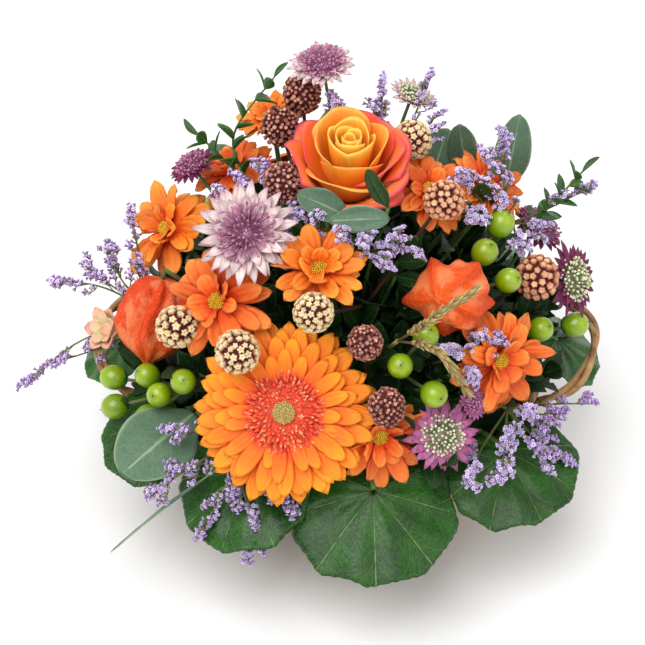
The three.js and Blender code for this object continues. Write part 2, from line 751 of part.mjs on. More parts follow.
const MASTERWORTS = [
  { node: "masterwort_left", at: [-48, -46, 189], axis: [-0.1, -0.68, 0.72], radius: 25, bracts: 18 },
  { node: "masterwort_left", at: [-78, 24, 176], axis: [-0.4, 0, 0.9], radius: 13, bracts: 10 },
  { node: "masterwort_front", at: [46, -95, 106], axis: [0.15, -0.78, 0.6], radius: 20, bracts: 14 },
  { node: "masterwort_front", at: [60, -84, 114], axis: [0.5, -0.5, 0.7], radius: 9, bracts: 8 },
  { node: "masterwort_top", at: [-12, 34, 230], axis: [-0.1, -0.1, 1], radius: 17, bracts: 12 },
  { node: "masterwort_top", at: [32, 32, 212], axis: [0.35, 0, 0.93], radius: 13, bracts: 10 },
  { node: "masterwort_right", at: [114, -14, 133], axis: [0.72, -0.45, 0.52], radius: 19, bracts: 12 },
  { node: "masterwort_right", at: [99, 14, 144], axis: [0.5, -0.1, 0.85], radius: 15, bracts: 10 },
];
const MASTERWORT_DEPTH = 0.8;

function openMasterwort({ node, at, axis, radius, bracts }) {
  const hub = radius * 0.26;
  const bract = { length: radius - hub, halfWidth: 0.125 * radius, widest: 0.5, lift: radians(4), keel: 0 };
  openStar(node, facing(vector(at), vector(axis)), {
    count: bracts,
    hub,
    crown: [[0.9, 0.05 * radius], [0.5, 0.16 * radius]],
    pins: 0.1 * radius,
    depth: MASTERWORT_DEPTH,
    layers: [bract, { ...bract, length: 0.6 * radius, lift: radians(18) }],
  });
}

// ---------------------------------------------------------------- heads and berries

const KNOB_HEADS = [
  { node: "button_heads_left", at: [-82, -62, 144], radius: 9.4 },
  { node: "button_heads_left", at: [-52, -85, 149], radius: 10.6 },
  { node: "button_heads_centre", at: [-16, -81, 170], radius: 9.8 },
  { node: "button_heads_centre", at: [46, -27, 194], radius: 9.8 },
  { node: "button_heads_right", at: [95, -24, 143], radius: 10 },
  { node: "button_heads_back", at: [32, 12, 201], radius: 9 },
  { node: "button_heads_back", at: [-8, 92, 146], radius: 10 },
  { node: "button_heads_back", at: [62, 62, 142], radius: 9.5 },
  { node: "cone_heads_top", at: [-31, -22, 200], radius: 8.6, cone: true },
  { node: "cone_heads_top", at: [-33, 22, 202], radius: 8.6, cone: true },
  { node: "cone_heads_top", at: [-22, 34, 213], radius: 8.6, cone: true },
  { node: "cone_heads_front", at: [18, -97, 122], radius: 9, cone: true },
  { node: "cone_heads_front", at: [8, -81, 151], radius: 8.6, cone: true },
];

const BUTTON = { columns: 8, rows: 6, relief: 0.8 };
const CONE = { columns: 6, rows: 5, relief: 1, squash: 1.2 };

/** Stands the knobbed heads of one node on the branches of one stem. */
function standKnobHeads(node) {
  const heads = KNOB_HEADS.filter((head) => head.node === node);
  growStem(node, heads.map(({ at }) => vector(at)), 1.5, (from, centre, i) => {
    const shape = heads[i].cone ? CONE : BUTTON;
    return headOnBranch(from, centre, { ...shape, radius: heads[i].radius - shape.relief });
  });
}

const BERRY = { radius: 6.6, columns: 6, rows: 4, squash: 1.08 };
const BERRIES = [
  { node: "berries_left", places: [[-119, -41, 90], [-118, -53, 81], [-100, -52, 102], [-93, -67, 103],
    [-100, -66, 86], [-80, -72, 117]] },
  { node: "berries_centre", places: [[37, -75, 150], [25, -82, 137], [41, -92, 128]] },
  { node: "berries_upper_right", places: [[76, -14, 169], [67, -31, 165], [79, -37, 152]] },
  { node: "berries_right", places: [[117, -25, 112], [98, -34, 117]] },
  { node: "berries_back", places: [[-88, 52, 122], [-100, 38, 112], [-76, 64, 116]] },
];

function standBerries({ node, places }) {
  growStem(node, places.map(vector), 1.5, (from, centre) => headOnBranch(from, centre, BERRY));
}

/** The loosely opened, pale bud inside the left handle. */
const BUD = { node: "pale_bud", at: vector([-122, -23, 107]), axis: vector([-0.6, -0.5, 0.6]) };

function standBud() {
  const frame = facing(BUD.at, BUD.axis);
  arrangement.add(BUD.node, moved(turned([[0, -6], [4, -5], [5, 0], [0, 6]], 6), frame));
  growStem(BUD.node, [new THREE.Vector3(0, 0, -4).applyMatrix4(frame)], 1.6);
}

function openBud() {
  whorl(BUD.node, facing(BUD.at, BUD.axis), {
    count: 6, seat: 3, height: -4,
    petal: { length: 13, stations: [[0, 1.6], [0.6, 4.2]], lift: radians(55), curl: radians(20), keel: 0.2 },
  });
}

// ---------------------------------------------------------------- leaves

const COLLAR = [
  { node: "collar_leaf_front", hub: [13, -105, 74], way: [0.02, -0.93, -0.38], radius: 47 },
  { node: "collar_leaf_right", hub: [80, -80, 76], way: [0.42, -0.83, -0.36], radius: 40 },
  { node: "collar_leaf_front_left", hub: [-50, -94, 75], way: [-0.3, -0.87, -0.42], radius: 40 },
  { node: "collar_leaf_left", hub: [-97, -62, 75], way: [-0.78, -0.5, -0.38], radius: 32 },
  { node: "collar_leaf_far_left", hub: [-117, 14, 68], way: [-0.86, 0.1, -0.5], radius: 32 },
  { node: "collar_leaf_far_right", hub: [115, 10, 70], way: [0.86, 0, -0.5], radius: 31 },
  { node: "collar_leaf_back_left", hub: [-58, 92, 75], way: [-0.5, 0.8, -0.42], radius: 44 },
  { node: "collar_leaf_back", hub: [12, 106, 75], way: [0.05, 0.9, -0.42], radius: 45 },
  { node: "collar_leaf_back_right", hub: [76, 80, 75], way: [0.6, 0.66, -0.42], radius: 42 },
];
const COLLAR_LEAF = { scallops: 9, droop: 0.12, thickness: 1.4, edges: 14 };
const PETIOLE = { radius: 1.7, crossing: 97, clearance: 8 }; // where and how far above the rim it bends

/** Stands the petiole: it rises from the foam, bends over the rim and ends in the leaf's notch. */
function standPetiole({ node, hub, way, radius }) {
  const place = vector(hub);
  const knee = new THREE.Vector3(place.x, place.y, 0).setLength(PETIOLE.crossing)
    .setZ(BASKET.height + PETIOLE.clearance);
  const end = place.clone().addScaledVector(vector(way).normalize(), -0.14 * radius);
  growStem(node, [knee], PETIOLE.radius);
  arrangement.add(node, rod(knee.clone().lerp(end, -0.12), end, PETIOLE.radius));
}

/** Lays a collar leaf over the rim, tilted and rolled until it clears its neighbours. */
function layCollarLeaf({ node, hub, way, radius }) {
  const variants = [1, 0.92, 0.84].flatMap((share) => [0, 6, -6, 12, -12, 18].flatMap((tilt) => (
    [0, 7, -7, 14, -14].map((roll) => ({ share, tilt, roll })))));
  const wasLaid = arrangement.fit(node, variants, ({ share, tilt, roll }) => {
    const along = vector(way).normalize();
    const side = new THREE.Vector3(along.y, -along.x, 0).normalize();
    along.applyAxisAngle(side, radians(tilt));
    side.applyAxisAngle(along, radians(roll));
    const face = new THREE.Vector3().crossVectors(side, along);
    const frame = new THREE.Matrix4().makeBasis(side, along, face).setPosition(vector(hub));
    const leaf = fanLeaf({ radius: radius * share, ...COLLAR_LEAF, wave: 0.06 * radius });
    return moved(leaf, frame);
  });
  if (!wasLaid) throw new Error(`${node} fits nowhere`);
}

const GUM_LEAVES = [
  { node: "gum_leaf_front_left", from: [-76, -64, 88], tip: [-112, -103, 76], face: [-0.1, -0.6, 0.8],
    halfWidth: 19 },
  { node: "gum_leaves_top_right", from: [82, 28, 156], tip: [88, 42, 196], face: [-0.1, -0.95, 0.2],
    halfWidth: 11 },
  { node: "gum_leaves_top_right", from: [64, 34, 158], tip: [58, 40, 192], face: [-0.3, -0.9, 0.3],
    halfWidth: 9 },
  { node: "gum_leaves_back", from: [-60, 52, 136], tip: [-68, 68, 158], face: [-0.3, 0.8, 0.5],
    halfWidth: 11 },
  { node: "gum_leaves_back", from: [-4, 62, 148], tip: [-4, 84, 172], face: [0, 0.8, 0.6], halfWidth: 12 },
  { node: "gum_leaves_back", from: [45, 48, 148], tip: [54, 64, 171], face: [0.3, 0.8, 0.5], halfWidth: 11 },
];

/** An oval leaf from its stalk to its tip, with its face turned as stated. */
function layGumLeaf({ node, from, tip, face, halfWidth }) {
  const along = vector(tip).sub(vector(from));
  const length = along.length();
  along.normalize();
  const side = new THREE.Vector3().crossVectors(along, vector(face)).normalize();
  const normal = new THREE.Vector3().crossVectors(side, along);
  const frame = new THREE.Matrix4().makeBasis(side, along, normal).setPosition(vector(from));
  const stations = [[0, 1], [0.16, 0.7 * halfWidth], [0.45, halfWidth], [0.78, 0.78 * halfWidth]];
  arrangement.fit(node, TILTS, (tilt) => moved(blade({
    length, stations, lift: tilt + 0.12, curl: 0.25, keel: 0.08, rib: 1.3,
  }), frame));
}

// ---------------------------------------------------------------- sprays

const STATICE = [
  { node: "statice_left", forks: [[-98, -10, 106]], tips: [[-172, -28, 70], [-158, -22, 80], [-128, -10, 100],
    [-153, -4, 124], [-136, 2, 130], [-123, 8, 140], [-110, 16, 158]] },
  { node: "statice_front_left", forks: [[-54, -88, 92]], tips: [[-97, -112, 76], [-90, -86, 100],
    [-86, -100, 84], [-74, -122, 58], [-48, -132, 52], [-58, -112, 76], [-24, -118, 72], [-44, -120, 64]] },
  { node: "statice_top", forks: [[4, -38, 170]], tips: [[-6, -46, 190], [10, -50, 188], [24, -47, 186],
    [-24, -34, 194], [-56, -10, 190]] },
  { node: "statice_crown", forks: [[22, 18, 182]], tips: [[-9, 26, 218], [14, 26, 214], [19, 34, 223],
    [41, 27, 228], [48, 20, 205]] },
  { node: "statice_upper_right", forks: [[84, 0, 158]], tips: [[78, 20, 202], [66, 8, 197], [54, -6, 196],
    [72, -9, 188], [124, 6, 179], [96, -8, 162], [86, -18, 158], [58, -26, 182]] },
  { node: "statice_right", forks: [[60, -62, 124], [80, -70, 96]], tips: [[60, -70, 146], [72, -66, 138],
    [46, -80, 146], [60, -84, 130], [131, -40, 70], [112, -56, 80], [88, -80, 104],
    [100, -74, 84], [80, -94, 93], [112, -84, 70], [99, -97, 79], [74, -112, 88], [57, -112, 86]] },
  { node: "statice_back", forks: [[-20, 84, 108]], tips: [[-52, 108, 92], [-28, 112, 108], [6, 114, 106],
    [34, 114, 92], [-76, 96, 100], [60, 100, 98]] },
];

/** A thin branch that ends in a spike of florets: one swelling on a short branch, else two. */
function spike(from, tip) {
  const reach = from.distanceTo(tip);
  const florets = reach < 27 ? [[reach - 12, 1], [reach - 7, 2.8]]
    : [[reach - 15, 0.9], [reach - 10.5, 2.7], [reach - 8, 1.5], [reach - 4.5, 2.5]];
  const stations = [[0, 0], [SPRINGING, 0.9], ...florets, [reach, 0]];
  const rings = stations.map(([height, radius]) => ring(height, radius));
  return moved(loft(rings), facing(from, tip.clone().sub(from)));
}

/** A statice spray: a forked stem, and a floret spike on every branch. */
function laySpray({ node, forks, tips }) {
  for (const tip of tips.map(vector)) {
    const [fork] = forks.map(vector).sort((a, b) => a.distanceTo(tip) - b.distanceTo(tip));
    const from = fork.addScaledVector(fork.clone().sub(FOAM_HEART).normalize(), -1); // inside the stem
    const outward = tip.clone().sub(FOAM_HEART).normalize();
    arrangement.fit(node, [0, -4, 4, -8, -12, 8], (shift) => (
      spike(from, tip.clone().addScaledVector(outward, shift))));
  }
}

const SPRIGS = [
  { node: "leafy_sprig_left", path: [[-46, 2, 176], [-56, 16, 200], [-34, 34, 226]], pairs: 4, length: 13,
    halfWidth: 3.4 },
  { node: "leafy_sprig_left", path: [[-46, 2, 176], [-62, 10, 192], [-74, 16, 202]], pairs: 2, length: 12,
    halfWidth: 3.2 },
  { node: "leafy_sprig_right", path: [[92, 6, 150], [102, 4, 166], [118, 8, 186]], pairs: 4, length: 12,
    halfWidth: 3.2 },
];

/** A thin shoot with leaflets in pairs. */
function laySprig({ node, path, pairs, length, halfWidth }) {
  const curve = new THREE.CatmullRomCurve3(path.map(vector));
  arrangement.add(node, tube(curve, 1, 3, 3));
  for (let i = 0; i < pairs * 2 + 1; i += 1) {
    const share = Math.min((i + 2) / (pairs * 2 + 2.2), 0.98);
    const splay = i === pairs * 2 ? 0 : 0.9;
    const frame = facing(curve.getPointAt(share), curve.getTangentAt(share), i * (Math.PI + 0.35))
      .multiply(new THREE.Matrix4().makeRotationX(Math.PI / 2 - splay));
    arrangement.fit(node, TILTS, (tilt) => moved(blade({
      length, stations: [[0, 0], [0.55, halfWidth]], lift: tilt, rib: 1.2,
    }), frame));
  }
}

const GRASSES = [
  { node: "seed_grass", path: [[24, -72, 144], [34, -90, 170], [48, -93, 192]] },
  { node: "seed_grass", path: [[24, -72, 144], [40, -98, 162], [56, -101, 138]] },
];

/** A drooping awn whose outer half swells into a row of seeds. */
function layGrass({ node, path }) {
  const curve = new THREE.CatmullRomCurve3(path.map(vector));
  const seeds = 6;
  const rings = [];
  for (let k = 0; k <= 2 * seeds + 3; k += 1) {
    const share = k < 3 ? k * 0.15 : 0.3 + ((k - 2) / (2 * seeds + 1)) * 0.68;
    const radius = k < 3 ? 0.9 : [1, 2][k % 2];
    const frame = facing(curve.getPointAt(share), curve.getTangentAt(share));
    rings.push(ring(0, radius).map((point) => point.applyMatrix4(frame)));
  }
  arrangement.fit(node, [0], () => loft(rings));
}

// ---------------------------------------------------------------- assembly

const handles = { handle_left: buildHandle(-1), handle_right: buildHandle(1) };
const pegHoles = Object.values(handles).flatMap(({ holes }) => holes);
arrangement.add("basket_weave", buildBasket().subtract(wasm.Manifold.union(pegHoles)));
arrangement.add("liner", buildLiner());
for (const [node, { solid }] of Object.entries(handles)) arrangement.add(node, solid);

/** Keeps the fingers' space inside a handle free. */
function reserveFingerGap(side) {
  const { inner, outer, front, back, low, high } = FINGER_GAP;
  const box = new THREE.BoxGeometry(outer - inner, back - front, high - low);
  box.translate((side * (outer + inner)) / 2, (back + front) / 2, (high + low) / 2);
  arrangement.add("finger_gap", solidOf(box));
}

/** Stands the stems of a kind of bloom; heads that name one stem share it. */
function standStems(heads, depth, radius) {
  const stems = new Map();
  for (const head of heads) {
    const node = head.stem ?? head.node;
    const isOwn = node === head.node;
    const frame = facing(vector(head.at), vector(head.axis));
    if (!isOwn) calyx(node, frame, depth, { radius: 3.4, height: 4 });
    const end = new THREE.Vector3(0, 0, isOwn ? -depth + 1 : -depth - 3).applyMatrix4(frame);
    stems.set(node, [...(stems.get(node) ?? []), end]);
  }
  for (const [node, ends] of stems) growStem(node, ends, radius);
}

[-1, 1].forEach(reserveFingerGap);
gerbera.stand();
rose.stand();
LANTERNS.forEach(standLantern);
standStems(MUMS, MUM_DEPTH, 1.9);
standStems(MASTERWORTS, MASTERWORT_DEPTH, 1.4);
new Set(KNOB_HEADS.map((head) => head.node)).forEach(standKnobHeads);
BERRIES.forEach(standBerries);
standBud();
STATICE.forEach(({ node, forks }) => growStem(node, forks.map(vector), 1.4));
for (const node of ["leafy_sprig_left", "leafy_sprig_right"]) {
  growStem(node, [vector(SPRIGS.find((sprig) => sprig.node === node).path[0])], 1.4);
}
growStem("seed_grass", [vector(GRASSES[0].path[0])], 1.4);
for (const node of new Set(GUM_LEAVES.map((leaf) => leaf.node))) {
  growStem(node, GUM_LEAVES.filter((leaf) => leaf.node === node).map((leaf) => vector(leaf.from)), 1.5);
}
COLLAR.forEach(standPetiole);
arrangement.add("floral_foam", buildFoam());

gerbera.open();
rose.open();
MUMS.forEach(openMum);
MASTERWORTS.forEach(openMasterwort);
openBud();
COLLAR.forEach(layCollarLeaf);
GUM_LEAVES.forEach(layGumLeaf);
SPRIGS.forEach(laySprig);
STATICE.forEach(laySpray);
GRASSES.forEach(layGrass);

const FINISHES = {
  willow: { color: 0xa97f52, roughness: 0.75 },
  film: { color: 0x20281f, roughness: 0.5 },
  foam: { color: 0x2f5a34, roughness: 0.95 },
  glossyLeaf: { color: 0x2c6a2a, roughness: 0.35 },
  gumLeaf: { color: 0x6f8c72, roughness: 0.6 },
  stem: { color: 0x5f7a38, roughness: 0.7 },
  gerbera: { color: 0xff8a1e, roughness: 0.6 },
  coral: { color: 0xe8563c, roughness: 0.7 },
  rose: { color: 0xffa62c, roughness: 0.55 },
  lantern: { color: 0xf2571c, roughness: 0.6 },
  mum: { color: 0xf2822a, roughness: 0.6 },
  mauve: { color: 0xb8708f, roughness: 0.7 },
  button: { color: 0xdcc294, roughness: 0.8 },
  cone: { color: 0x7a4a38, roughness: 0.85 },
  berry: { color: 0x9cc41a, roughness: 0.25 },
  bud: { color: 0xe8bfa0, roughness: 0.6 },
  statice: { color: 0xa882d2, roughness: 0.8 },
  straw: { color: 0xa8925c, roughness: 0.85 },
};
const FINISH_OF = [
  [/^basket|^handle/, "willow"], [/^liner/, "film"], [/^floral_foam/, "foam"], [/^collar/, "glossyLeaf"],
  [/^gum/, "gumLeaf"], [/stem|^leafy/, "stem"], [/^gerbera_rays/, "gerbera"], [/^gerbera_eye/, "coral"],
  [/^rose/, "rose"], [/^lantern/, "lantern"], [/^mum/, "mum"], [/^masterwort/, "mauve"],
  [/^button/, "button"], [/^cone/, "cone"], [/^berries/, "berry"], [/bud$/, "bud"], [/^statice/, "statice"],
  [/^seed/, "straw"],
];

const flowerBasket = new THREE.Group();
const nodes = new Set(arrangement.pieces.map((piece) => piece.node));
nodes.delete("finger_gap");
for (const node of nodes) {
  const [, finish] = FINISH_OF.find(([pattern]) => pattern.test(node));
  const material = new THREE.MeshStandardMaterial({ ...FINISHES[finish], metalness: 0 });
  const mesh = new THREE.Mesh(geometryOf(arrangement.fused(node)), material);
  mesh.name = node;
  flowerBasket.add(mesh);
}

export default flowerBasket;
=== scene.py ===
"""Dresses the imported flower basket: woven willow, twisted handles, leaves, blooms and berries.

Lengths are in millimetres until a piece is written to the scene, where they turn to metres. +Z is
up and -Y is the front. Every piece stands where its CAD node stands.
"""

import logging
import math
from dataclasses import dataclass, replace
from enum import Enum
from functools import cache

import bpy
import numpy as np
from mathutils import Matrix, Vector


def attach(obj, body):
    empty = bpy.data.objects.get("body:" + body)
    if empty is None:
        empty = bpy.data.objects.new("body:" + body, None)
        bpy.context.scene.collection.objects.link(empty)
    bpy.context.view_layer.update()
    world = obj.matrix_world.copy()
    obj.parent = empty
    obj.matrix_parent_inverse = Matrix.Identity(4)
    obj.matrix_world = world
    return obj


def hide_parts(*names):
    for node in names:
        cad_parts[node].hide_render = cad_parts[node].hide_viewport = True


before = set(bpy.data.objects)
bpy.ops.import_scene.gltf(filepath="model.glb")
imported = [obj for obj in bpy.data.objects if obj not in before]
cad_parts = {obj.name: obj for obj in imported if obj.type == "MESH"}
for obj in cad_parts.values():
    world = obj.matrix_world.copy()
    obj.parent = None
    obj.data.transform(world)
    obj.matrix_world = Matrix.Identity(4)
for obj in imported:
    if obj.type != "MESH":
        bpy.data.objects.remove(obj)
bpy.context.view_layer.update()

LOG = logging.getLogger("flower_basket")
MM = 0.001
TAU = 2 * math.pi
GOLDEN_ANGLE = math.pi * (3 - math.sqrt(5))
Vec = np.ndarray
Rng = np.random.Generator
Material = bpy.types.Material
Socket = bpy.types.NodeSocket

# The sizes that the solids were made from, in millimetres. The stems point at the foam's heart.
FOAM_HEART = np.array([0.0, 0.0, 48.0])
FOAM_SHOULDER = 64.0
FOAM_DOME = 44.0
FOAM_LEDGE = 8.0
SEAT_DEPTH = 15.0
BASE_RADIUS = 74.0
RIM_RADIUS = 105.0
BASKET_HEIGHT = 70.0
WALL = 6.0
FLOOR = 5.0
FOAM_NEAREST = 10.0  # bounds on how far the foam's surface is from its heart
FOAM_FARTHEST = 140.0
FORK_SHARE = 0.35  # how far up from the foam a stem forks
GERBERA_AT = np.array([-30.0, -92.0, 116.0])
GERBERA_AXIS = np.array([-0.08, -0.74, 0.67])


# ---- geometry


def unit(vectors: Vec) -> Vec:
    """Scales a vector, or each of an array of them, to length one."""
    vectors = np.asarray(vectors, float)
    return vectors / np.maximum(np.linalg.norm(vectors, axis=-1, keepdims=True), 1e-9)


def around(reach: Vec | float, turn: Vec | float, height: Vec | float) -> Vec:
    """Points at a reach from the Z axis, a turn about it in radians, and a height."""
    return np.stack(np.broadcast_arrays(reach * np.cos(turn), reach * np.sin(turn), height), axis=-1)


def spiral(count: int, spacing: float) -> tuple[Vec, Vec]:
    """The reaches and turns of florets packed evenly over a disc, from its middle outwards."""
    order = np.arange(count)
    return spacing * np.sqrt(order + 0.5), order * GOLDEN_ANGLE


def facing(at: Vec, axis: Vec, spin: float = 0.0) -> Vec:
    """Places a frame at a point with its Z along an axis and its Y as upright as it can be.

    Args:
        at: the frame's origin.
        axis: where its Z points.
        spin: a turn about Z in radians.

    Returns:
        A 4 by 4 matrix.
    """
    z = unit(axis)
    upright = np.array([0.0, 1.0, 0.0]) if abs(z[2]) > 0.95 else np.array([0.0, 0.0, 1.0])
    x = unit(np.cross(upright, z))
    y = np.cross(z, x)
    pose = np.eye(4)
    pose[:3, 0] = x * math.cos(spin) + y * math.sin(spin)
    pose[:3, 1] = -x * math.sin(spin) + y * math.cos(spin)
    pose[:3, 2] = z
    pose[:3, 3] = at
    return pose


def sphere(count: int) -> Vec:
    """Ways from the middle of a ball that are spread evenly over it."""
    rise = 1 - 2 * (np.arange(count) + 0.5) / count
    return around(np.sqrt(1 - rise * rise), np.arange(count) * GOLDEN_ANGLE, rise)


def shifted(x: float, y: float, z: float) -> Vec:
    """A matrix that moves by x, y and z."""
    pose = np.eye(4)
    pose[:3, 3] = (x, y, z)
    return pose


def turned(axis: str, angle: float) -> Vec:
    """A matrix that turns about the named axis by an angle in radians."""
    return np.array(Matrix.Rotation(angle, 4, axis))


def scaled(*sizes: float) -> Vec:
    """A matrix that scales by one number, or by one along each of x, y and z."""
    return np.diag([*(sizes if len(sizes) == 3 else sizes * 3), 1.0])


def applied(pose: Vec, points: Vec) -> Vec:
    """Moves points, in an array whose last side is x, y, z, by a matrix."""
    return np.asarray(points, float) @ pose[:3, :3].T + pose[:3, 3]


def laid(start: Vec, along: Vec, side: Vec) -> Vec:
    """The frame of a leaf: Y towards its tip, X to its side, Z out of its upper face."""
    pose = np.eye(4)
    pose[:3, :] = np.column_stack([side, along, np.cross(side, along), start])
    return pose


@dataclass
class Shape:
    """A closed body: its corners, faces, and how far along and across it each corner lies."""

    verts: Vec
    quads: Vec
    tris: Vec
    along: Vec
    across: Vec
    under: Vec | None = None  # 1 on the back of a petal or leaf


def sheet(points: Vec, thickness: float, along: Vec | None = None, across: Vec | None = None) -> Shape:
    """Makes a thin closed body with sharp margins over a grid of points.

    Args:
        points: rows of columns of x, y, z. Its face is where across x along points.
        thickness: how thick it is between its margins.
        along: a value for each point, by default its row's share.
        across: a value for each point, by default from -1 to 1 over the columns.

    Returns:
        The body.
    """
    rows, cols = points.shape[:2]
    step_along = np.gradient(points, axis=0)
    step_across = np.gradient(points, axis=1)
    normal = unit(np.cross(step_across, step_along))
    if along is None or across is None:
        across, along = np.meshgrid(np.linspace(-1, 1, cols), np.linspace(0, 1, rows))
    inner = np.zeros((rows, cols), bool)
    inner[1:-1, 1:-1] = True
    half = np.where(inner, thickness / 2, 0.0)[..., None]
    top = (points + normal * half).reshape(-1, 3)
    bottom = (points - normal * half)[inner]
    index_top = np.arange(rows * cols).reshape(rows, cols)
    index_bottom = index_top.copy()
    index_bottom[inner] = rows * cols + np.arange(inner.sum())

    def cells(grid: Vec) -> Vec:
        """The four corners of each cell of a grid of corner numbers."""
        corners = (grid[:-1, :-1], grid[:-1, 1:], grid[1:, 1:], grid[1:, :-1])
        return np.stack(corners, axis=-1).reshape(-1, 4)

    quads = np.concatenate([cells(index_top), cells(index_bottom)[:, ::-1]])
    return Shape(
        verts=np.concatenate([top, bottom]),
        quads=quads,
        tris=np.zeros((0, 3), int),
        along=np.concatenate([along.reshape(-1), along[inner]]),
        across=np.concatenate([across.reshape(-1), across[inner]]),
        under=np.concatenate([np.zeros(rows * cols), np.ones(inner.sum())]),
    )


def ringed(rings: Vec, start: Vec, end: Vec) -> Shape:
    """Makes a closed body through a stack of rings, closed by a point at each end.

    Args:
        rings: rings of points of x, y, z, counter-clockwise as seen from the end point.
        start: the point that closes the first ring.
        end: the point that closes the last ring.

    Returns:
        The body.
    """
    count, sides = rings.shape[:2]
    index = np.arange(count * sides).reshape(count, sides)
    nxt = np.roll(index, -1, axis=1)
    quads = np.stack([index[:-1], nxt[:-1], nxt[1:], index[1:]], axis=-1).reshape(-1, 4)
    foot, tip = count * sides, count * sides + 1
    low = np.stack([nxt[0], index[0], np.full(sides, foot)], axis=-1)
    high = np.stack([index[-1], nxt[-1], np.full(sides, tip)], axis=-1)
    share = np.linspace(0, 1, count + 2)
    around = np.cos(np.arange(sides) / sides * TAU)
    return Shape(
        verts=np.concatenate([rings.reshape(-1, 3), [start], [end]]),
        quads=quads,
        tris=np.concatenate([low, high]),
        along=np.concatenate([np.repeat(share[1:-1], sides), [0.0, 1.0]]),
        across=np.concatenate([np.tile(around, count), [0.0, 0.0]]),
    )


def tube(path: Vec, radii: Vec | float, sides: int = 6, lobes: int = 0, groove: float = 0.0) -> Shape:
    """Makes a stem or rod along a path.

    Args:
        path: its points.
        radii: its radius, or one for each point.
        sides: how many sides it has.
        lobes: how many grooves run along it.
        groove: how deep they are, as a share of the radius.

    Returns:
        The body. How far along it a corner lies is in tenths of a metre.
    """
    path = np.asarray(path, float)
    radii = np.broadcast_to(np.asarray(radii, float), (len(path),))
    forward = unit(np.gradient(path, axis=0))
    side = facing(path[0], forward[0])[:3, 0]
    turn = np.arange(sides) / sides * TAU
    swell = 1 + groove * np.cos(lobes * turn)
    rings = []
    for point, way, radius in zip(path, forward, radii):
        side = unit(side - way * side.dot(way))
        other = np.cross(way, side)
        offset = np.cos(turn)[:, None] * side + np.sin(turn)[:, None] * other
        rings.append(point + radius * swell[:, None] * offset)
    shape = ringed(np.array(rings), path[0], path[-1])
    steps = np.linalg.norm(np.diff(path, axis=0), axis=1)
    reach = np.concatenate([[0], np.cumsum(steps)]) / 100
    shape.along = np.concatenate([np.repeat(reach, sides), [0, reach[-1]]])
    return shape


def ball(profile: Vec, sides: int) -> Shape:
    """Makes a round body about Z.

    Args:
        profile: pairs of radius and height from the foot to the tip. Both ends lie on the axis.
        sides: how many sides it has.

    Returns:
        The body.
    """
    reach, height = np.asarray(profile, float).T[:, :, None]
    rings = around(reach[1:-1], np.arange(sides) / sides * TAU, height[1:-1])
    return ringed(rings, [0, 0, height[0, 0]], [0, 0, height[-1, 0]])


def arc(radius: float, height: float, steps: int, power: float = 1.0) -> Vec:
    """Draws a round profile from the foot to the tip of a ball that stands on the origin.

    Args:
        radius: the ball's radius.
        height: how high it is.
        steps: how many points the profile has.
        power: below 1 it is fuller than an ellipse.

    Returns:
        Pairs of radius and height.
    """
    angle = np.linspace(-math.pi / 2, math.pi / 2, steps)
    return np.stack([radius * np.cos(angle) ** power, height * (1 + np.sin(angle)) / 2], axis=1)


def curve(points: list[Vec] | Vec, steps: int) -> Vec:
    """Draws a smooth line through points.

    Args:
        points: what it runs through. Two points give a straight line.
        steps: how many points it has.

    Returns:
        Its points.
    """
    points = np.asarray(points, float)
    if len(points) == 2:
        return points[0] + np.linspace(0, 1, steps)[:, None] * (points[1] - points[0])
    padded = np.concatenate([[2 * points[0] - points[1]], points, [2 * points[-1] - points[-2]]])
    out = []
    for share in np.linspace(0, len(points) - 1 - 1e-9, steps):
        i = int(share)
        t = share - i
        a, b, c, d = padded[i : i + 4]
        bend, twist = 2 * a - 5 * b + 4 * c - d, 3 * b - a - 3 * c + d
        out.append(0.5 * (2 * b + (c - a) * t + bend * t**2 + twist * t**3))
    return np.array(out)


